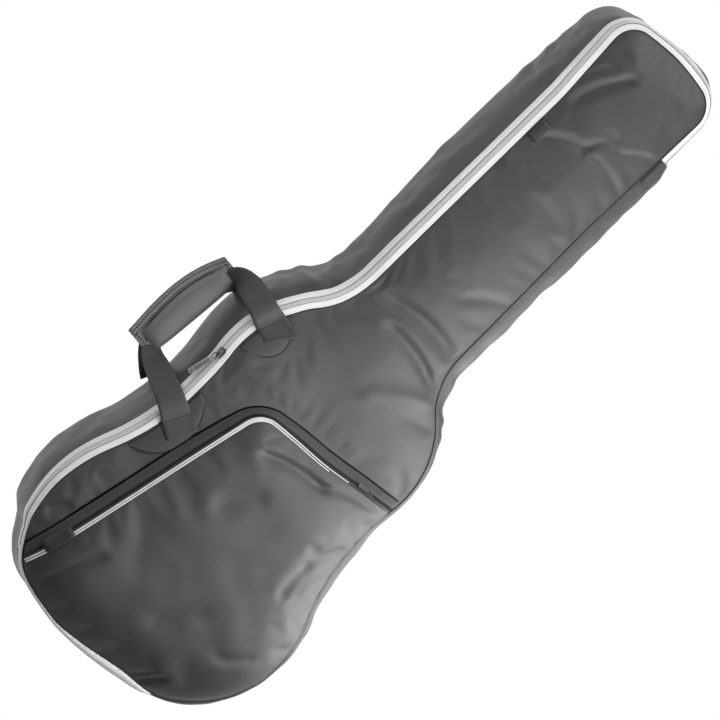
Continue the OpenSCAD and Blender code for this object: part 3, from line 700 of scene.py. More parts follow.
def side_up(stations):
    """The gusset's slant beside the front seam, at each station."""
    a = side_line(stations, 0.006)
    b = side_line(stations, 0.018)
    run = np.roll(a, -1, 0) - a
    run[-1] = run[-2]
    up = np.cross(run, b - a)
    up *= np.sign(up[:, 2])[:, None]
    return up / np.linalg.norm(up, axis=1)[:, None]


ring = np.arange(COUNT)
straight_up = np.tile((0.0, 0.0, 1.0), (COUNT, 1))
black_thread = woven("black_thread", (0.012, 0.012, 0.013), 0.0004, 0.6)
# The black cord all round the seam: dark piping, and painted shadow where the seam's groove lies.
seam_cord_and_shade = sweep("front_seam_cord", seam + (0, 0, 0.0002), straight_up, circle(SEAM_CORD_R, 8), closed=True)
seam_cord_and_shade.data.materials.append(black_thread)
on_front(seam_cord_and_shade)
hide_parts("seam_piping")

# ---------------------------------------------------------------------------
# Main zipper: two silver-white woven tapes with a light grey nylon coil
# between them, each tape held by its own row of stitches.
# ---------------------------------------------------------------------------
TAPE_NEAR, COIL_NEAR, COIL_FAR, TAPE_FAR = 0.0010, 0.0096, 0.0148, 0.0240
TOOTH_PITCH = 0.0019
STITCH_PITCH = 0.0036


def ribbon(name, stations, near, far, lift=0.0007, cols=9):
    """A strip of tape on the gusset between two distances from the front seam."""
    t = np.linspace(0, 1, cols)
    bow = lift * np.clip(np.minimum(t, 1 - t) / 0.12, 0.15, 1)
    places = np.stack([side_line(stations, near + (far - near) * f, b) for f, b in zip(t, bow)], 1)
    return grid_object(name, places, cloth_lengths(places))


def rounded_bar(name, size, segments=6):
    """A small rounded bar, used for zipper teeth and thread."""
    bm = bmesh.new()
    bmesh.ops.create_uvsphere(bm, u_segments=segments, v_segments=5, radius=1)
    for v in bm.verts:
        v.co = Vector([math.copysign(abs(c) ** 0.7, c) * h for c, h in zip(v.co, size)])
    mesh = bpy.data.meshes.new(name)
    bm.to_mesh(mesh)
    bm.free()
    mesh.shade_smooth()
    obj = bpy.data.objects.new(name, mesh)
    bpy.context.scene.collection.objects.link(obj)
    return obj


def spacing_tree():
    """Lays copies of an item along a line: its X along the line, its Z along the line's own up."""
    tree = bpy.data.node_groups.new("spaced_along", "GeometryNodeTree")
    face = tree.interface
    face.new_socket("Geometry", in_out="INPUT", socket_type="NodeSocketGeometry")
    for label, kind in (("Spacing", "NodeSocketFloat"), ("Item", "NodeSocketObject"),
                        ("Material", "NodeSocketMaterial")):
        face.new_socket(label, in_out="INPUT", socket_type=kind)
    face.new_socket("Geometry", in_out="OUTPUT", socket_type="NodeSocketGeometry")
    nodes, links = tree.nodes, tree.links
    start, end = nodes.new("NodeGroupInput"), nodes.new("NodeGroupOutput")
    curve = nodes.new("GeometryNodeMeshToCurve")
    even = nodes.new("GeometryNodeResampleCurve")
    even.mode = "LENGTH"
    item = nodes.new("GeometryNodeObjectInfo")
    tangent = nodes.new("GeometryNodeInputTangent")
    up = nodes.new("GeometryNodeInputNamedAttribute")
    up.data_type = "FLOAT_VECTOR"
    up.inputs["Name"].default_value = "up"
    facing = nodes.new("FunctionNodeAxesToRotation")
    facing.primary_axis, facing.secondary_axis = "X", "Z"
    copies = nodes.new("GeometryNodeInstanceOnPoints")
    real = nodes.new("GeometryNodeRealizeInstances")
    paint = nodes.new("GeometryNodeSetMaterial")
    links.new(start.outputs["Geometry"], curve.inputs["Mesh"])
    links.new(curve.outputs["Curve"], even.inputs["Curve"])
    links.new(start.outputs["Spacing"], even.inputs["Length"])
    links.new(start.outputs["Item"], item.inputs["Object"])
    links.new(tangent.outputs["Tangent"], facing.inputs["Primary Axis"])
    links.new(up.outputs["Attribute"], facing.inputs["Secondary Axis"])
    links.new(even.outputs["Curve"], copies.inputs["Points"])
    links.new(item.outputs["Geometry"], copies.inputs["Instance"])
    links.new(facing.outputs["Rotation"], copies.inputs["Rotation"])
    links.new(copies.outputs["Instances"], real.inputs["Geometry"])
    links.new(real.outputs["Geometry"], paint.inputs["Geometry"])
    links.new(start.outputs["Material"], paint.inputs["Material"])
    links.new(paint.outputs["Geometry"], end.inputs["Geometry"])
    return tree


SPACED = spacing_tree()


def spaced(name, lines, spacing, size, material):
    """Rounded bars at even spacing along one or more (path, up) lines, as one mesh."""
    item = rounded_bar("bar", size)
    mesh = bpy.data.meshes.new(name)
    verts = np.vstack([path for path, up in lines])
    edges, first = [], 0
    for path, up in lines:
        edges += [(first + i, first + i + 1) for i in range(len(path) - 1)]
        first += len(path)
    mesh.from_pydata(verts.tolist(), edges, [])
    mesh.attributes.new("up", "FLOAT_VECTOR", "POINT").data.foreach_set(
        "vector", np.vstack([up for path, up in lines]).astype(np.float32).ravel())
    obj = bpy.data.objects.new(name, mesh)
    bpy.context.scene.collection.objects.link(obj)
    layer = obj.modifiers.new("spaced", "NODES")
    layer.node_group = SPACED
    named = {s.name: s.identifier for s in SPACED.interface.items_tree if s.in_out == "INPUT"}
    layer[named["Spacing"]] = spacing
    layer[named["Item"]] = item
    layer[named["Material"]] = material
    ready = bpy.context.evaluated_depsgraph_get()
    result = bpy.data.meshes.new_from_object(obj.evaluated_get(ready), depsgraph=ready)
    obj.modifiers.clear()
    obj.data = result
    bpy.data.objects.remove(item)
    return obj


def moulded(name, colour, roughness, grain=0.00005, metallic=0.0, size=900.0):
    """Moulded plastic, thread or metal: one colour with a fine grain in its relief and gloss."""
    material = bpy.data.materials.new(name)
    material.use_nodes = True
    nodes, links = material.node_tree.nodes, material.node_tree.links
    shader = nodes["Principled BSDF"]
    shader.inputs["Metallic"].default_value = metallic
    place = nodes.new("ShaderNodeTexCoord")
    cloud = nodes.new("ShaderNodeTexNoise")
    cloud.inputs["Scale"].default_value = size
    cloud.inputs["Detail"].default_value = 4.0
    links.new(place.outputs["Object"], cloud.inputs["Vector"])
    shade = nodes.new("ShaderNodeMixRGB")
    shade.inputs["Color1"].default_value = (*[c * 0.85 for c in colour], 1)
    shade.inputs["Color2"].default_value = (*[min(1, c * 1.12) for c in colour], 1)
    links.new(cloud.outputs["Fac"], shade.inputs["Fac"])
    links.new(shade.outputs["Color"], shader.inputs["Base Color"])
    gloss = nodes.new("ShaderNodeMapRange")
    gloss.inputs["To Min"].default_value = roughness - 0.05
    gloss.inputs["To Max"].default_value = roughness + 0.08
    links.new(cloud.outputs["Fac"], gloss.inputs["Value"])
    links.new(gloss.outputs["Result"], shader.inputs["Roughness"])
    relief = nodes.new("ShaderNodeBump")
    relief.inputs["Strength"].default_value = 0.4
    relief.inputs["Distance"].default_value = grain
    links.new(cloud.outputs["Fac"], relief.inputs["Height"])
    links.new(relief.outputs["Normal"], shader.inputs["Normal"])
    return material


zip_run = np.arange(ZIP_START, ZIP_END + 1)
slant = side_up(zip_run)
silver_tape = woven("silver_tape", (0.93, 0.93, 0.94), 0.0006, 0.62, mottle=0.04)
coil_grey = moulded("coil_grey", (0.62, 0.62, 0.63), 0.40)
grey_thread = woven("grey_thread", (0.09, 0.09, 0.095), 0.0004, 0.6)
pale_thread = moulded("pale_thread", (0.5, 0.5, 0.51), 0.6)

front_tape = ribbon("front_tape", zip_run, TAPE_NEAR, COIL_NEAR + 0.0006)
front_tape.data.materials.append(silver_tape)
back_tape = ribbon("back_tape", zip_run, COIL_FAR - 0.0006, TAPE_FAR)
back_tape.data.materials.append(silver_tape)
tooth = (TOOTH_PITCH * 0.47, 0.0015, 0.0010)
front_coil = spaced("front_coil", [(side_line(zip_run, COIL_NEAR + 0.0013, 0.0012), slant)],
                    TOOTH_PITCH, tooth, coil_grey)
back_coil = spaced("back_coil", [(side_line(zip_run, COIL_FAR - 0.0013, 0.0012)[1:], slant[1:])],
                   TOOTH_PITCH, tooth, coil_grey)
coil_bed = ribbon("coil_bed", zip_run, COIL_NEAR - 0.0004, COIL_FAR + 0.0004, lift=0.0003, cols=5)
coil_bed.data.materials.append(coil_grey)
on_front(coil_bed)
# Thin dark grey lines beside the coil on both tapes: painted shadow where the tapes dip to the coil.
coil_shadow_line = moulded("coil_shadow_line", (0.085, 0.085, 0.09), 0.6)
for near, sewn_to in ((COIL_NEAR - 0.0002, "front"), (COIL_FAR + 0.0002, "back")):
    line = sweep("coil_edge_" + sewn_to, side_line(zip_run, near, 0.0009), slant, circle(0.00042, 6))
    line.data.materials.append(coil_shadow_line)
    if sewn_to == "front":
        on_front(line)
    else:
        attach(line, "root")
thread = (0.0013, 0.00035, 0.0003)
front_stitches = spaced("front_tape_stitches", [(side_line(zip_run, TAPE_NEAR + 0.0022, 0.0009), slant)],
                        STITCH_PITCH, thread, pale_thread)
back_stitches = spaced("back_tape_stitches", [(side_line(zip_run, TAPE_FAR - 0.0035, 0.0009), slant)],
                       STITCH_PITCH, thread, pale_thread)
for piece, nodes_for, slot in ((front_tape, ["zip_tape_front"], "zip_tape"),
                               (front_coil, ["zip_coil_front"], "zip_coil"),
                               (front_stitches, [], "zip_tape")):
    on_front(piece)
    if nodes_for:
        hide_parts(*nodes_for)
for piece, nodes_for, slot in ((back_tape, ["zip_tape_back"], "zip_tape"),
                               (back_coil, ["zip_coil_back"], "zip_coil"), (back_stitches, [], "zip_tape")):
    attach(piece, "root")
    if nodes_for:
        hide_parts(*nodes_for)

# The gusset's turned-in end, where the zipper's upper end goes under it
end_run = np.arange(ZIP_START - 9, ZIP_START + 2)
end_fold = ribbon("zip_end_cloth", end_run, 0.0008, 0.0250, lift=0.0026, cols=13)
end_fold.data.materials.append(nylon)
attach(end_fold, "root")

# ---------------------------------------------------------------------------
# Light piping: the zipper's silver tape runs on as a rolled strip in the
# front seam, from the zipper's lower end round the bottom, and tapers out.
# ---------------------------------------------------------------------------
PIPING_END = near_rim(0.112, -0.533)
PIPING_LEAST = 0.0060
PIPING_ROLL = 0.0022
PIPING_LIFT = 0.0010

piping_run = np.arange(ZIP_END - 2, COUNT + PIPING_END)
along_piping = np.linspace(0, 1, len(piping_run))
piping_width = PIPING_LEAST + 1.15 * (seam_in + bulges)[piping_run % COUNT]
piping_width *= np.clip((1 - along_piping) / 0.10, 0.1, 1) ** 0.7
piping_cols = []
for t in np.linspace(0, 1, 9):
    bulge = PIPING_ROLL * math.sin(math.pi * t) ** 0.7 + PIPING_LIFT
    piping_cols.append(np.array([side_point(i % COUNT, 0.0006 + w * t, bulge * min(1, w / 0.009))
                                 for i, w in zip(piping_run, piping_width)]))
piping_places = np.stack(piping_cols, 1)
light_piping = grid_object("light_piping", piping_places, cloth_lengths(piping_places))
light_piping.data.materials.append(silver_tape)
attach(light_piping, "root")
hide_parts("bottom_piping", "zip_end_low")

# ---------------------------------------------------------------------------
# Back panel: flat padded nylon that the bag rests on, with a dark corded
# seam all round, and the grey lining over the foam inside.
# ---------------------------------------------------------------------------
BACK_CORD_R = 0.0022

back_loop = np.column_stack((rim - rim_out * back_in[:, None], np.full(COUNT, BACK_SEAM_Z)))
back = panel_patch(back_loop, 60, 150)
flat_back = back.reshape(-1, 3)
back_gap = seam_distance(flat_back[:, :2], back_loop[:, :2])
quilt = 0.0007 * (1 + soft_noise(flat_back, 0.08, 9))
flat_back[:, 2] = 0.0008 + quilt + (BACK_SEAM_Z - 0.0012) * np.exp(-back_gap / 0.007)
back_panel = grid_object("back_panel", back, cloth_lengths(back), flip_faces=True)
back_panel.data.materials.append(nylon)
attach(back_panel, "root")
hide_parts("back_shell")

back_cord = sweep("back_seam_cord", back_loop + (0, 0, 0.0004), straight_up, circle(BACK_CORD_R, 10),
                  closed=True)
back_cord.data.materials.append(black_thread)
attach(back_cord, "root")

inside = np.zeros((COUNT, 26, 3))
for i in range(COUNT):
    s_low = profiles[i][0][-1] - 0.006
    s_high = hem_start[i] + 0.0015
    for k, t in enumerate(np.linspace(0, 1, 26)):
        depth = 0.0012 + 0.0085 * (1 - math.exp(-t / 0.08))
        inside[i, k] = side_point(i, s_high + (s_low - s_high) * t, -depth)
case_lining = grid_object("case_lining_side", inside, cloth_lengths(inside), wrap=True, flip_faces=True)
case_lining.data.materials.append(lining)
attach(case_lining, "root")
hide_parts("gusset_lining", "gusset_foam")

bed = back.copy()
bed[..., 2] = 0.0115 + 0.004 * np.exp(-back_gap.reshape(bed.shape[:2]) / 0.012)
bed_flat = bed.reshape(-1, 3)
bed_flat[:, 2] += 0.0010 * soft_noise(bed_flat, 0.06, 12)
bed[..., :2] *= 0.975
case_bed = grid_object("case_lining_back", bed, cloth_lengths(bed))
case_bed.data.materials.append(lining)
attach(case_bed, "root")
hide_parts("back_lining", "back_foam")

# ---------------------------------------------------------------------------
# Music pocket: a puffed nylon panel sewn into the right and bottom seams.
# Its slanted left and top edges carry a dark woven zipper tape with zigzag
# stitching, a black coil and a pair of thin silver pipings.
# ---------------------------------------------------------------------------
POCKET_LIFT = 0.0095
POCKET_PUFF = 0.0075
BAND = 0.0175
POCKET_PIPING_R = 0.0014


def inside_seam(start, run, reach):
    """How far one can go from a place before meeting the front seam."""
    d = np.linspace(0, reach, 800)
    places = start + d[:, None] * run
    return d[int(np.argmin(seam_distance(places)))]


left_start = POCKET_CORNER + left_out * POCKET_R
top_start = POCKET_CORNER + top_out * POCKET_R
left_run = inside_seam(left_start, left_dir, 0.36) - 0.002
top_run = inside_seam(top_start, top_dir, 0.24) - 0.002
left_t = np.linspace(left_run, 0, 80)[:-1, None]
arc_from, arc_to = bearing(left_out) % (2 * math.pi), bearing(top_out)
arc_a = np.linspace(arc_from, arc_to, 22)[:, None]
top_t = np.linspace(0, top_run, 54)[1:, None]
pocket_xy = np.vstack((left_start + left_dir * left_t,
                       POCKET_CORNER + POCKET_R * np.hstack((np.cos(arc_a), np.sin(arc_a))),
                       top_start + top_dir * top_t))
pocket_out = np.vstack((np.tile(left_out, (len(left_t), 1)), np.hstack((np.cos(arc_a), np.sin(arc_a))),
                        np.tile(top_out, (len(top_t), 1))))
# The seam pulls the edge in a little along the top, where the panel sags
sag = np.exp(-(np.hypot(pocket_xy[:, 0] - 0.045, pocket_xy[:, 1] + 0.158) / 0.05) ** 2)
pocket_xy = pocket_xy - pocket_out * (0.003 * sag)[:, None]


def cover_height(xy):
    """Height of the front panel's crown."""
    return SEAM_Z + CROWN * (1 - np.exp(-seam_distance(xy) / CROWN_REACH))


def keep_in(xy, margin=0.0018):
    """Moves places that lie outside the front seam back onto it."""
    gap = np.sqrt(((xy[:, None] - seam_xy[None]) ** 2).sum(2))
    near = gap.argmin(1)
    outwards = ((xy - seam_xy[near]) * rim_out[near]).sum(1)
    return np.where((outwards > -margin)[:, None], seam_xy[near] - rim_out[near] * margin, xy)


def pocket_edge(offset, lift):
    """The pocket's zipped edge, moved outwards by offset, at a height above the front panel."""
    xy = keep_in(pocket_xy + pocket_out * offset)
    ends = np.minimum(np.clip(seam_distance(xy) / 0.03, 0, 1), 1)
    return np.column_stack((xy, cover_height(xy) + 0.0004 + lift * (0.25 + 0.75 * ends)))


corner_i = len(left_t) + len(arc_a) // 2
narrow = 1 - 0.34 * np.exp(-((np.arange(len(pocket_xy)) - corner_i) / 16) ** 2)


def pocket_band(name, outer, inner, low, high, cols=8):
    """Part of the dark band that climbs from the front panel to the pocket's edge."""
    t = np.linspace(0, 1, cols)
    places = np.stack([pocket_edge((narrow * (outer + (inner - outer) * f))[:, None], low + (high - low) * f +
                                   0.0008 * math.sin(math.pi * f) ** 0.6) for f in t], 1)
    return grid_object(name, places, cloth_lengths(places), flip_faces=True)


def on_pocket(piece):
    """The piece is sewn to the pocket panel; its transform is baked into its mesh."""
    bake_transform(piece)


pocket_tape = woven("pocket_tape", (0.034, 0.034, 0.036), 0.0012, 0.55, relief=0.0004, mottle=0.45, twill=0.5)
silver_piping = moulded("silver_piping", (0.58, 0.58, 0.59), 0.30, size=500)
black_coil = moulded("black_coil", (0.015, 0.015, 0.016), 0.32)

low_tape = pocket_band("pocket_tape_low_cloth", BAND, 0.0052, 0.0, POCKET_LIFT * 0.62)
low_tape.data.materials.append(pocket_tape)
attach(low_tape, "root")
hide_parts("pocket_tape_low", "pocket_wall")
top_tape = pocket_band("pocket_tape_top_cloth", 0.0014, -0.0010, POCKET_LIFT * 0.70, POCKET_LIFT)
top_tape.data.materials.append(pocket_tape)
on_pocket(top_tape)
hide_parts("pocket_tape_top")

edge_up = np.column_stack((pocket_out * 0.45, np.ones(len(pocket_out))))
edge_up /= np.linalg.norm(edge_up, axis=1)[:, None]
small_tooth = (0.00055, 0.0013, 0.0009)
coil_low = spaced("pocket_coil_low_teeth", [(pocket_edge(0.0040, POCKET_LIFT * 0.52), edge_up)], 0.0015,
                  small_tooth, black_coil)
coil_top = spaced("pocket_coil_top_teeth", [(pocket_edge(0.0022, POCKET_LIFT * 0.58)[1:], edge_up[1:])],
                  0.0015, small_tooth, black_coil)
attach(coil_low, "root")
on_pocket(coil_top)
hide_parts("pocket_coil_low")
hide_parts("pocket_coil_top")


def zigzag(offset, lift, wide, pitch, up):
    """A zigzag stitch line beside the pocket's edge."""
    inner = pocket_edge((narrow * (offset - wide))[:, None], lift)
    outer = pocket_edge((narrow * (offset + wide))[:, None], lift)
    s = np.concatenate(([0], np.cumsum(np.linalg.norm(np.diff(inner, axis=0), axis=1))))
    marks = np.arange(0.004, s[-1] - 0.004, pitch / 2)
    swing = (np.arange(len(marks)) % 2)[:, None]
    pick = lambda line: np.column_stack([np.interp(marks, s, line[:, k]) for k in range(3)])
    return pick(inner) * (1 - swing) + pick(outer) * swing, pick(up)


low_zigzag = spaced("pocket_zigzags",
                    [zigzag(0.0146, POCKET_LIFT * 0.17 + 0.0009, 0.0017, 0.0046, edge_up),
                     zigzag(0.0095, POCKET_LIFT * 0.42 + 0.0010, 0.0017, 0.0046, edge_up)], 0.0030,
                    (0.0011, 0.00045, 0.0004), grey_thread)
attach(low_zigzag, "root")
# A black cord along the band's outer edge: painted shade where the band folds down onto the front panel.
band_fold_shade = sweep("pocket_band_foot", pocket_edge((narrow * BAND)[:, None], 0.0003), edge_up,
                  circle(0.0009, 6))
band_fold_shade.data.materials.append(black_thread)
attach(band_fold_shade, "root")

shown = len(pocket_xy) - 20
pipings = []
for offset, end in ((-0.0012, shown), (-0.0042, shown - 8)):
    line = pocket_edge(offset, POCKET_LIFT + 0.0012)[:end]
    place = np.arange(end)
    size = np.where(place < corner_i, 0.80 + 0.45 * np.exp(-((place - corner_i) / 14) ** 2),
                    1.25 - 0.80 * np.clip((place - corner_i) / (end - corner_i), 0, 1) ** 0.5)
    pipings.append(sweep("pocket_silver_piping", line, edge_up[:end], circle(POCKET_PIPING_R, 8), size=size))
    pipings[-1].data.materials.append(silver_piping)
    on_pocket(pipings[-1])
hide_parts("pocket_piping")

# The panel: its left and top edges hang on the pipings, its other two are in the seam
mid = len(left_t) + len(arc_a) // 2
edge_line = pocket_edge(-0.0030, POCKET_LIFT)
left_foot, right_end = near_rim(*edge_line[0, :2]), near_rim(*edge_line[-1, :2])
edge_line = edge_line.copy()
rows, cols = 96, 92
right_seam = seam[foot_right:right_end + 1]
low_seam = np.vstack((seam[left_foot:], seam[:foot_right + 1]))
edge_line[0], edge_line[-1] = low_seam[0], right_seam[-1]
pocket = patch(at_shares(edge_line[:mid + 1], rows), at_shares(right_seam, rows),
               at_shares(low_seam, cols), at_shares(edge_line[mid:], cols))
flat_pocket = pocket.reshape(-1, 3)
seam_gap = seam_distance(flat_pocket[:, :2])
zip_gap = seam_distance(flat_pocket[:, :2], pocket_edge(-0.0030, 0)[:, :2])
open_edge = np.exp(-zip_gap / 0.030)
ease_in = 1 - np.exp(-seam_gap / 0.020)
flat_pocket[:, 2] = (cover_height(flat_pocket[:, :2]) + 0.0004
                     + (POCKET_LIFT + POCKET_PUFF * (1 - open_edge)) * np.clip(ease_in * 1.02, 0, 1))
POCKET_FOLDS = [
    (-0.036, -0.206, 0.076, -0.182, 0.0065, 0.0044), (0.050, -0.186, 0.146, -0.152, 0.0065, 0.0034),
    (0.128, -0.325, 0.128, -0.262, 0.0080, 0.0030), (0.122, -0.276, 0.160, -0.212, 0.0075, 0.0026),
    (0.146, -0.300, 0.172, -0.236, 0.0065, -0.0018), (-0.113, -0.526, -0.080, -0.434, 0.0065, 0.0040),
    (0.070, -0.553, 0.101, -0.500, 0.0050, 0.0060), (0.058, -0.548, 0.084, -0.506, 0.0045, 0.0036),
    (-0.030, -0.300, 0.020, -0.240, 0.0120, 0.0022), (0.020, -0.470, 0.080, -0.400, 0.0140, 0.0020),
    (0.165, -0.400, 0.120, -0.440, 0.0080, 0.0020)]
still = np.clip(np.minimum(seam_gap, zip_gap) / 0.012, 0, 1)
flat_pocket[:, 2] += still * (fold_lines(flat_pocket[:, :2], POCKET_FOLDS)
                              + 0.0022 * soft_noise(flat_pocket, 0.09, 21)
                              + 0.0010 * soft_noise(flat_pocket, 0.035, 22))
pocket_cloth = grid_object("pocket_cloth", pocket, cloth_lengths(pocket))
settle(pocket_cloth, np.where(np.minimum(seam_gap, zip_gap) < 0.004, 1.0, 0.0))
pocket_cloth.data.materials.append(nylon)
on_pocket(pocket_cloth)
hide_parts("pocket_panel", "pocket_flap")

# ---------------------------------------------------------------------------
# Handle patches: two half-round nylon reinforcements on the front panel,
# outlined in dark thread, under the sewn ends of the webbing.
# ---------------------------------------------------------------------------
WEBBING = (0.046, 0.046, 0.048)
WEB_T = 0.0019


def on_cover(xy, lift):
    """Places on the front panel, lifted off it."""
    xy = np.asarray(xy, float)
    return np.column_stack((xy, cover_height(xy) + lift))


webbing = woven("handle_webbing", WEBBING, 0.0011, 0.58, relief=0.0004, mottle=0.10, twill=0.6)
patch_outlines, patch_grids = [], []
for x, y in TAB_ENDS:
    middle = near_rim(x - 0.06, y)
    turns = np.linspace(0, 1, 40)
    inner = np.array([seam_xy[i] - rim_out[i] * 0.003
                      for i in np.linspace(middle - 13, middle + 13, 40).astype(int)])
    reach = np.linalg.norm(np.array((x, y)) - seam_xy[middle]) + 0.008
    outer = inner.mean(0) + np.array([-rim_out[middle] * reach * math.sin(math.pi * t) ** 0.6
                                      + (inner[-1] - inner[0]) * (t - 0.5) for t in turns])
    outer[0], outer[-1] = inner[0], inner[-1]
    rows = np.stack([on_cover(inner + (outer - inner) * f, 0.0013 * (1 - f ** 6) + 0.0004)
                     for f in np.linspace(0, 1, 14)], 1)
    patch_grids.append(rows)
    patch_outlines.append(outer)
for n, rows in enumerate(patch_grids):
    piece = grid_object("handle_patch_%d" % n, rows, cloth_lengths(rows), flip_faces=False)
    piece.data.materials.append(nylon)
    on_front(piece)
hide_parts("handle_patches")
up_40 = np.tile((0.0, 0.0, 1.0), (40, 1))
patch_thread = spaced("handle_patch_stitches",
                      [(on_cover(o + (o.mean(0) - o) * 0.05, 0.0014), up_40) for o in patch_outlines],
                      0.0027, (0.0011, 0.00035, 0.0003), black_thread)
on_front(patch_thread)
for n, o in enumerate(patch_outlines):
    edge = sweep("handle_patch_edge_%d" % n, on_cover(o, 0.0006), up_40, circle(0.0006, 6))
    edge.data.materials.append(black_thread)
    on_front(edge)

# ---------------------------------------------------------------------------
# Handle webbing: two polyester straps, 43 mm wide where they are sewn and
# 23 mm at the grip, cross the zipper and meet in the grip.  A second loop,
# sewn low on the gusset, lies under it.
# ---------------------------------------------------------------------------
def smooth_path(marks, count):
    """A smooth line through a few places."""
    marks = np.asarray(marks, float)
    marks = np.vstack((2 * marks[0] - marks[1], marks, 2 * marks[-1] - marks[-2]))
    out = []
    spans = len(marks) - 3
    for t in np.linspace(0, spans - 1e-6, count):
        k = int(t)
        f = t - k
        a, b, c, d = marks[k:k + 4]
        out.append(0.5 * (2 * b + (c - a) * f + (2 * a - 5 * b + 4 * c - d) * f ** 2
                          + (3 * b - a - 3 * c + d) * f ** 3))
    return np.array(out)


def flat_bar(width, thick, corner=0.35):
    """Rounded flat section of webbing."""
    t = np.linspace(-0.5, 0.5, 13)
    edge = np.clip((0.5 - np.abs(t)) / 0.05, 0, 1) ** 0.5
    top = np.column_stack((t * width, thick / 2 * (corner + (1 - corner) * edge)))
    return np.vstack((top[::-1], top * (1, -1)))


def strap(name, marks, widths, slant=0.0, count=60):
    """Webbing along a path, with its width eased between marks and its first end cut on a slant."""
    path = smooth_path(marks, count)
    tangent = np.gradient(path, axis=0)
    up = np.tile((0.0, 0.0, 1.0), (count, 1))
    side_dir = np.cross(up, tangent)
    up = np.cross(tangent, side_dir)
    up /= np.linalg.norm(up, axis=1)[:, None]
    across = np.cross(up, tangent)
    across /= np.linalg.norm(across, axis=1)[:, None]
    wide = np.interp(np.linspace(0, 1, count), np.linspace(0, 1, len(widths)), widths)
    lean = slant * np.exp(-np.linspace(0, 1, count) / 0.22)
    piece = sweep(name, path, up, flat_bar(1.0, WEB_T), wide=wide, slant=lean)
    across = across + tangent / np.linalg.norm(tangent, axis=1)[:, None] * lean[:, None]
    piece.data.materials.append(webbing)
    return piece, path, up, across


for n, marks in enumerate((
        ((-0.1180, -0.2600), (-0.1400, -0.2490), (-0.1560, -0.2410), (-0.1740, -0.2320), (-0.1930, -0.2225),
         (-0.2080, -0.2150), (-0.2230, -0.2030)),
        ((-0.1140, -0.0815), (-0.1400, -0.0755), (-0.1560, -0.0715), (-0.1740, -0.0660), (-0.1890, -0.0625),
         (-0.2000, -0.0650), (-0.2100, -0.0780)))):
    flat = np.array(marks)
    tab_z = cover_height(flat[:2])
    heights = [tab_z[0] + 0.0026, tab_z[1] + 0.0026, 0.1192, 0.1120, 0.0900, 0.0690, 0.0612]
    leg = strap("handle_leg_%d" % n, np.column_stack((flat, heights)),
                (0.043, 0.041, 0.038, 0.037, 0.035, 0.029, 0.023), slant=(0.05, 0.45)[n])
    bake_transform(leg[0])
    # The sewn end: a box of thread near the strap's end
    _, path, up, across = leg
    s = np.concatenate(([0], np.cumsum(np.linalg.norm(np.diff(path, axis=0), axis=1))))
    at = lambda d, w: np.array([np.interp(d, s, path[:, k]) + np.interp(d, s, across[:, k]) * w
                                + np.interp(d, s, up[:, k]) * (WEB_T / 2 + 0.0002) for k in range(3)])
    corners = [(0.003, -0.016), (0.003, 0.016), (0.024, 0.016), (0.024, -0.016), (0.003, -0.016)]
    line = np.array([at(a0 + (a1 - a0) * f, w0 + (w1 - w0) * f)
                     for (a0, w0), (a1, w1) in zip(corners, corners[1:]) for f in np.linspace(0, 0.98, 16)])
    box = spaced("handle_box_stitch_%d" % n, [(line, np.tile(up[3], (len(line), 1)))], 0.0028,
                 (0.0011, 0.0004, 0.0003), black_thread)
    on_front(box)
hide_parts("handle_tabs", "webbing_front")

for n, marks in enumerate((
        ((-0.1700, -0.2330, 0.0100), (-0.1790, -0.2290, 0.0150), (-0.1900, -0.2240, 0.0260),
         (-0.2040, -0.2165, 0.0400), (-0.2150, -0.2080, 0.0470), (-0.2240, -0.1990, 0.0476)),
        ((-0.1700, -0.0640, 0.0100), (-0.1780, -0.0660, 0.0150), (-0.1870, -0.0700, 0.0260),
         (-0.1960, -0.0770, 0.0400), (-0.2040, -0.0860, 0.0470), (-0.2120, -0.0960, 0.0476)))):
    rear = strap("rear_leg_%d" % n, marks, (0.036, 0.034, 0.031, 0.028, 0.024))
    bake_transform(rear[0])
rear_bar = strap("rear_bar", ((-0.2240, -0.2080, 0.0470), (-0.2230, -0.1900, 0.0468),
                              (-0.2220, -0.1400, 0.0466), (-0.2195, -0.1050, 0.0468),
                              (-0.2140, -0.0860, 0.0470)),
                 (0.026, 0.034, 0.036, 0.034, 0.026))
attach(rear_bar[0], "handle_back")
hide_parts("handle_tabs_back", "webbing_back")
front_bar = strap("front_bar", ((-0.2230, -0.2130, 0.0611), (-0.2225, -0.1900, 0.0611),
                                (-0.2215, -0.1400, 0.0611), (-0.2190, -0.0950, 0.0611),
                                (-0.2120, -0.0760, 0.0611)),
                  (0.024, 0.032, 0.032, 0.030, 0.022))
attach(front_bar[0], "handle_front")

# ---------------------------------------------------------------------------
# Padded grip: two foam pads in a smooth grey fabric that wrap round the
# webbing and close with hook and loop along their outer, bound edges.
# ---------------------------------------------------------------------------
GRIP_MID = np.array((-0.2248, -0.1375))
GRIP_TURN = math.radians(5.4)
GRIP_HALF = 0.0775
PAD_H = 0.0100
EDGE_T = 0.0014

grip_along = np.array((math.sin(GRIP_TURN), math.cos(GRIP_TURN)))
grip_across = np.array((-math.cos(GRIP_TURN), math.sin(GRIP_TURN)))


def grip_inner(a):
    return -0.0245 + 0.0035 * np.abs(a / GRIP_HALF) ** 5


def grip_outer(a):
    return (0.0275 - (0.0125 + 0.0035 * a / GRIP_HALF) * (a / GRIP_HALF) ** 2
            + 0.0010 * np.abs(a / GRIP_HALF) ** 14)


def grip_point(a, b, z):
    xy = GRIP_MID + grip_along * a[..., None] + grip_across * b[..., None]
    return np.concatenate((xy, z[..., None]), -1)


def pad_height(a, b):
    """How far the foam pushes the cloth out; the outer band and the ends stay flat."""
    half = (grip_outer(a) - 0.0125 - grip_inner(a)) / 2
    mid = grip_inner(a) + half
    u = np.clip(np.abs(b - mid) / half, 0, 1)
    v = np.clip(np.abs(a) / (GRIP_HALF - 0.0105), 0, 1)
    return PAD_H * (1 - u ** 2.4) ** 0.55 * (1 - v ** 9) ** 0.55


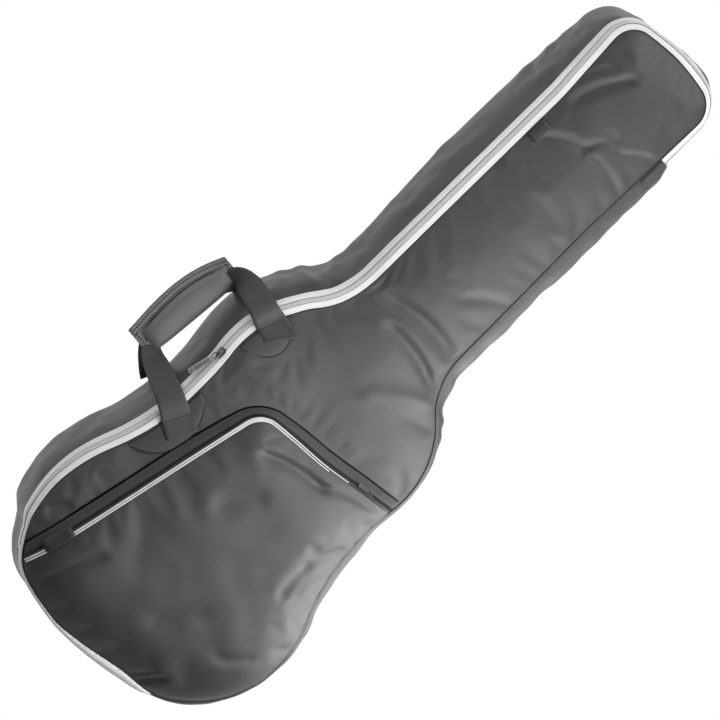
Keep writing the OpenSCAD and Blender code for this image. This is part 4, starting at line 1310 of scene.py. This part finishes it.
def leaf(name, level, sense):
    """One half of the grip, its flat side at a level and its pad bulging up (1) or down (-1)."""
    a = (np.linspace(-1, 1, 90) * GRIP_HALF)[:, None]
    t = np.linspace(0, 1, 44)[None]
    b = grip_inner(a) + (grip_outer(a) - grip_inner(a)) * t
    aa = a + 0 * b
    h = pad_height(aa, b)
    wave = 0.0003 * soft_noise(grip_point(aa, b, h).reshape(-1, 3), 0.012, 31).reshape(h.shape)
    outer = grip_point(aa, b, level + sense * (EDGE_T + h + wave * (h > 0.001)))
    inner = grip_point(aa[:, ::-1], b[:, ::-1], level + 0 * h)
    rings = np.concatenate((outer, inner), 1)
    closed = np.concatenate((rings, rings[:, :1]), 1)
    piece = grid_object(name, closed, cloth_lengths(closed), flip_faces=sense < 0)
    bm = bmesh.new()
    bm.from_mesh(piece.data)
    bmesh.ops.remove_doubles(bm, verts=bm.verts, dist=1e-6)
    ends = [e for e in bm.edges if e.is_boundary]
    bmesh.ops.holes_fill(bm, edges=ends)
    bm.to_mesh(piece.data)
    bm.free()
    piece.data.shade_smooth()
    return piece


grip_grey = woven("grip_fabric", (0.150, 0.150, 0.155), 0.0005, 0.45, relief=0.00012, sheen=0.1, mottle=0.06)
for name, level, sense, body, node in (("grip_upper_pad", 0.0626, 1, "grip_closure", "grip_upper"),
                                       ("grip_lower_pad", 0.0596, -1, "handle_front", "grip_lower")):
    half = leaf(name, level, sense)
    half.data.materials.append(grip_grey)
    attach(half, body)
    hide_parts(node)
    # Bias binding round the edge, the seam beside the pad, and stitches along the band and across its ends
    a = np.linspace(-GRIP_HALF, GRIP_HALF, 90)
    top = level + sense * EDGE_T
    loop_a = np.concatenate((a, a[::-1]))
    loop_b = np.concatenate((grip_outer(a), grip_inner(a[::-1])))
    rim_line = grip_point(loop_a, loop_b, np.full(180, level + sense * EDGE_T / 2))
    up_loop = np.tile((0.0, 0.0, 1.0), (180, 1))
    bound = sweep(name + "_binding", rim_line, up_loop, circle(0.00115, 8), closed=True)
    bound.data.materials.append(grip_grey)
    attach(bound, body)
    inner_a = np.linspace(-GRIP_HALF + 0.0085, GRIP_HALF - 0.0085, 90)
    turn_in = 0.014 * np.abs(inner_a / (GRIP_HALF - 0.0085)) ** 14
    seam_line = grip_point(inner_a, grip_outer(inner_a) - 0.0118 - turn_in, np.full(90, top + sense * 0.0002))
    up_seam = np.tile((0.0, 0.0, float(sense)), (90, 1))
    pad_seam = sweep(name + "_seam", seam_line, up_seam, circle(0.0009, 6))
    pad_seam.data.materials.append(black_thread)
    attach(pad_seam, body)
    rows = [(grip_point(a * 0.97, grip_outer(a) - inset, np.full(90, top + sense * 0.0002)), up_seam)
            for inset in (0.0030, 0.0090)]
    for end in (-1, 1):
        b = np.linspace(grip_inner(np.array(GRIP_HALF)) + 0.003, grip_outer(np.array(GRIP_HALF)) - 0.003, 90)
        rows.append((grip_point(np.full(90, end * (GRIP_HALF - 0.0045)), b,
                                np.full(90, top + sense * 0.0002)), up_seam))
    stitches = spaced(name + "_stitches", rows, 0.0042, (0.0015, 0.0009, 0.0006), black_thread)
    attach(stitches, body)

hook_and_loop = moulded("hook_and_loop", (0.02, 0.02, 0.021), 0.85, grain=0.0006, size=1400)
for name, level, body, node in (("loop_pile", 0.0600, "handle_front", "loop_strip"),
                                ("hook_tape", 0.0619, "grip_closure", "hook_strip")):
    a = np.linspace(-0.052, 0.052, 60)
    line = grip_point(a, grip_outer(a) - 0.0065, np.full(60, level))
    strip = sweep(name, line, np.tile((0.0, 0.0, 1.0), (60, 1)), flat_bar(0.0100, 0.0011))
    strip.data.materials.append(hook_and_loop)
    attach(strip, body)
    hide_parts(node)

# ---------------------------------------------------------------------------
# Main slider: a cast zinc body on the coil with a raised bridge, a wire ring
# and a long silver pull with a knurled face.
# ---------------------------------------------------------------------------
SLIDER_Y = -0.1495
PULL_LENGTH, PULL_W, PULL_T = 0.038, 0.0070, 0.0019
LEAN = -21


def cast_piece(name, outline, low, high, bevel, frame_m, holes=()):
    """A flat casting with rounded edges: an outline, thickened, with its holes, set in a frame."""
    bm = bmesh.new()
    loops = [outline, *holes]
    edges = []
    for loop in loops:
        verts = [bm.verts.new((x, y, low)) for x, y in loop]
        edges += [bm.edges.new((a, b)) for a, b in zip(verts, verts[1:] + verts[:1])]
    if holes:
        bmesh.ops.triangle_fill(bm, edges=edges, use_beauty=True, use_dissolve=False)
    else:
        bm.faces.new(bm.verts[:])
    bmesh.ops.recalc_face_normals(bm, faces=bm.faces)
    moved = bmesh.ops.extrude_face_region(bm, geom=bm.faces[:])["geom"]
    for v in moved:
        if isinstance(v, bmesh.types.BMVert):
            v.co.z = high
    bmesh.ops.recalc_face_normals(bm, faces=bm.faces)
    sharp = [e for e in bm.edges if len(e.link_faces) == 2 and e.calc_face_angle() > 0.6]
    bmesh.ops.bevel(bm, geom=sharp, offset=bevel, segments=3, affect="EDGES", profile=0.6)
    bmesh.ops.transform(bm, matrix=frame_m, verts=bm.verts)
    mesh = bpy.data.meshes.new(name)
    bm.to_mesh(mesh)
    bm.free()
    mesh.shade_smooth()
    obj = bpy.data.objects.new(name, mesh)
    bpy.context.scene.collection.objects.link(obj)
    return obj


def rounded(width, length, corner, y0=0.0, steps=5):
    """A rounded rectangle from y0 towards -Y."""
    out = []
    for cx, cy, a0 in ((width / 2 - corner, y0 - corner, 0), (-width / 2 + corner, y0 - corner, 90),
                       (-width / 2 + corner, y0 - length + corner, 180),
                       (width / 2 - corner, y0 - length + corner, 270)):
        for k in range(steps + 1):
            a = math.radians(a0 + 90 * k / steps)
            out.append((cx + corner * math.cos(a), cy + corner * math.sin(a)))
    return out


def joined(name, pieces):
    """Several meshes made into one piece."""
    bm = bmesh.new()
    for p in pieces:
        bm.from_mesh(p.data)
        bpy.data.objects.remove(p)
    mesh = bpy.data.meshes.new(name)
    bm.to_mesh(mesh)
    bm.free()
    mesh.shade_smooth()
    obj = bpy.data.objects.new(name, mesh)
    bpy.context.scene.collection.objects.link(obj)
    return obj


def arch(name, length, height, wide, thick, frame_m):
    """The bridge of a slider: a flat bar bent into an arch along Y."""
    t = np.linspace(0, 1, 25)
    path = np.column_stack((0 * t, (0.5 - t) * length, height * np.sin(math.pi * t) ** 0.45))
    tangent = np.gradient(path, axis=0)
    up = np.cross(np.tile((-1.0, 0.0, 0.0), (25, 1)), tangent)
    section = np.array([(x * wide / 2, z * thick / 2) for x, z in
                        ((1, 0.6), (0.8, 1), (-0.8, 1), (-1, 0.6), (-1, -0.6), (-0.8, -1), (0.8, -1),
                         (1, -0.6))])
    piece = sweep(name, path, up, section)
    piece.data.transform(frame_m)
    return piece


def wire(name, line, radius, frame_m, closed=False):
    """A bent wire in a slider's frame."""
    line = np.asarray(line, float)
    piece = sweep(name, line, np.tile((0.0, 0.0, 1.0), (len(line), 1)), circle(radius, 10), closed=closed)
    piece.data.transform(frame_m)
    return piece


zinc = moulded("slider_metal", (0.62, 0.62, 0.63), 0.28, grain=0.00008, metallic=1.0, size=700)
# Lit and shaded copies of one slider metal: the darker one is painted shade, used on the slider body, the
# ring and the knurls.
shaded_zinc = moulded("slider_metal_painted_shade", (0.16, 0.16, 0.17), 0.36, grain=0.00008, metallic=0.9, size=700)

slider_i = ZIP_START + int(np.argmin(np.where(rim[zip_run, 0] < 0, np.abs(rim[zip_run, 1] - SLIDER_Y), 9)))
here = np.array(side_point(slider_i, (COIL_NEAR + COIL_FAR) / 2, 0.0012))
ahead = np.array(side_point(slider_i - 3, (COIL_NEAR + COIL_FAR) / 2, 0.0012))
z_axis = Vector(slant[slider_i - ZIP_START])
y_axis = Vector(ahead - here).normalized()
y_axis = (y_axis - z_axis * y_axis.dot(z_axis)).normalized()
x_axis = y_axis.cross(z_axis)
coil_frame = Matrix((x_axis, y_axis, z_axis)).transposed().to_4x4()
coil_frame.translation = Vector(here)

body_outline = [(-0.0034, 0.0075), (0.0034, 0.0075), (0.0054, 0.0045), (0.0050, -0.0010), (0.0040, -0.0060),
                (0.0030, -0.0080), (-0.0030, -0.0080), (-0.0040, -0.0060), (-0.0050, -0.0010),
                (-0.0054, 0.0045)]
slider_body = joined("main_slider", [
    cast_piece("plate", body_outline, 0.0009, 0.0026, 0.0005, coil_frame),
    arch("bridge", 0.0105, 0.0040, 0.0028, 0.0011, coil_frame @ Matrix.Translation((0, 0, 0.0024)))])
# The slider body takes the darker metal: painted shade.
slider_body.data.materials.append(shaded_zinc)
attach(slider_body, "main_slider")
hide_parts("slider_body")

# The ring and pull hang over to the gusset side at rest
lean_over = coil_frame @ Matrix.Rotation(math.radians(LEAN), 4, "Z")
RING_Z, RING_Y = 0.0050, -0.0030
ring_line = [(x * 0.0036, RING_Y - 0.0045 + y * 0.0052, RING_Z)
             for x, y in ((math.copysign(abs(math.cos(a)) ** 0.7, math.cos(a)),
                           math.copysign(abs(math.sin(a)) ** 0.7, math.sin(a)))
                          for a in np.arange(32) / 32 * 2 * math.pi)]
pull_ring = wire("main_ring", ring_line, 0.0009, lean_over, closed=True)
# The ring takes the darker metal: painted shade.
pull_ring.data.materials.append(shaded_zinc)
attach(pull_ring, "main_pull")
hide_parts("pull_ring")

pull_frame = lean_over @ Matrix.Translation((0, RING_Y - 0.0082, RING_Z))
pull_hole = [(0.0016 * math.cos(a), -0.0026 + 0.0012 * math.sin(a)) for a in np.arange(10) / 10 * 2 * math.pi]
end_hole = [(x, y - PULL_LENGTH + 0.0062) for x, y in pull_hole]
blade = cast_piece("blade", rounded(PULL_W, PULL_LENGTH, 0.0022, 0.0006), -PULL_T / 2, PULL_T / 2, 0.0004,
                   pull_frame, holes=(pull_hole, end_hole))
rib_lines = []
for k in range(12):
    y = -0.0068 - k * 0.0018
    run = np.array([(x, y, PULL_T / 2 + 0.0001) for x in np.linspace(-0.0022, 0.0022, 6)])
    rib_lines.append((np.array([pull_frame @ Vector(p) for p in run]), np.tile(z_axis, (6, 1))))
# The knurls take the darker metal: painted shade in the pull's grooves.
knurls = spaced("knurls", rib_lines, 0.0011, (0.0006, 0.0006, 0.0005), shaded_zinc)
blade.data.materials.append(zinc)
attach(knurls, "main_pull")
main_pull = blade
main_pull.name = "main_pull_tab"
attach(main_pull, "main_pull")
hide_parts("pull_tab")

# ---------------------------------------------------------------------------
# Pocket slider: a small black body near the right end of the pocket's top
# edge, with a plain black pull lying along the coil.
# ---------------------------------------------------------------------------
pocket_coil = pocket_edge(0.0031, POCKET_LIFT * 0.60)
at_slider = int(np.argmin(np.abs(pocket_coil[:, 0] - 0.118) + (pocket_coil[:, 1] < -0.3)))
pz = Vector(edge_up[at_slider])
py = Vector(pocket_coil[at_slider + 2] - pocket_coil[at_slider - 2]).normalized()
pz = (pz - py * pz.dot(py)).normalized()
pocket_frame = Matrix((py.cross(pz), py, pz)).transposed().to_4x4()
pocket_frame.translation = Vector(pocket_coil[at_slider])
small_body = [(x * 0.72, y * 0.70) for x, y in body_outline]
pocket_slider = joined("small_slider", [
    cast_piece("small_plate", small_body, 0.0007, 0.0019, 0.0004, pocket_frame),
    arch("small_bridge", 0.0070, 0.0026, 0.0019, 0.0008, pocket_frame @ Matrix.Translation((0, 0, 0.0018)))])
black_enamel = moulded("slider_black", (0.012, 0.012, 0.013), 0.30, size=700)
pocket_slider.data.materials.append(black_enamel)
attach(pocket_slider, "pocket_slider")
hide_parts("pocket_slider")
pull_at = pocket_frame @ Matrix.Translation((0, -0.0016, 0.0034))
slot_hole = [(0.0014 * math.cos(a), -0.0012 + 0.0011 * math.sin(a)) for a in np.arange(10) / 10 * 2 * math.pi]
pocket_pull = cast_piece("small_pull", rounded(0.0056, 0.0215, 0.0020, 0.0014), -0.0006, 0.0006, 0.0003,
                         pull_at, holes=(slot_hole,))
pocket_pull.data.materials.append(black_enamel)
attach(pocket_pull, "pocket_pull")
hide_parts("pocket_pull")

# ---------------------------------------------------------------------------
# Sewn tabs: two bare folded loops of black label tape, one in the front seam
# beside the head, one on the pocket's lower left corner.
# ---------------------------------------------------------------------------
TAB_T = 0.0007


def sewn_tab(name, origin, run, wide_dir, up, length, width):
    """A folded label: two layers of tape with a rolled end."""
    origin, run, wide_dir, up = (np.asarray(v, float) for v in (origin, run, wide_dir, up))
    turn_r = 0.0009
    back = [(d, 0.0003) for d in np.linspace(0, length, 12)]
    bend = [(length + turn_r * math.sin(a), 0.0003 + turn_r - turn_r * math.cos(a))
            for a in np.linspace(0.3, math.pi - 0.3, 7)]
    front = [(d, 0.0003 + 2 * turn_r + 0.0006 * math.sin(math.pi * d / length))
             for d in np.linspace(length, 0, 12)]
    line = np.array([origin + run * d + up * h for d, h in back + bend + front])
    places = line[:, None] + wide_dir * (np.linspace(-0.5, 0.5, 8) * width)[None, :, None]
    piece = grid_object(name, places, cloth_lengths(places))
    thick = piece.modifiers.new("thickness", "SOLIDIFY")
    thick.thickness = TAB_T
    ready = bpy.context.evaluated_depsgraph_get()
    piece.data = bpy.data.meshes.new_from_object(piece.evaluated_get(ready), depsgraph=ready)
    piece.modifiers.clear()
    piece.data.shade_smooth()
    piece.data.materials.append(label_tape)
    return piece


label_tape = woven("label_tape", (0.020, 0.020, 0.021), 0.0006, 0.5, relief=0.0001)
head_i = near_rim(-0.099, 0.347)
head_at = seam_xy[head_i] - rim_out[head_i] * 0.0005
head_at = np.append(head_at, cover_height(head_at[None])[0] + 0.0008)
head_tab = sewn_tab("head_tab", head_at, (0.985, 0.0, 0.17), (0, 1, 0), (-0.17, 0, 0.985), 0.0150, 0.0290)
on_front(head_tab)
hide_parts("tab_head")

k = int(np.argmin(np.hypot(pocket_xy[:, 0] + 0.1265, pocket_xy[:, 1] + 0.470)))
tab_line = pocket_edge(-0.0050, POCKET_LIFT + 0.0026)
run = tab_line[k + 3] - tab_line[k - 3]
run /= np.linalg.norm(run)
out_dir = np.append(pocket_out[k], -0.45)
out_dir /= np.linalg.norm(out_dir)
pocket_tab = sewn_tab("pocket_tab", tab_line[k], out_dir, run,
                      np.cross(run, out_dir) * np.sign(np.cross(run, out_dir)[2]), 0.0150, 0.0430)
on_pocket(pocket_tab)
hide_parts("tab_pocket")
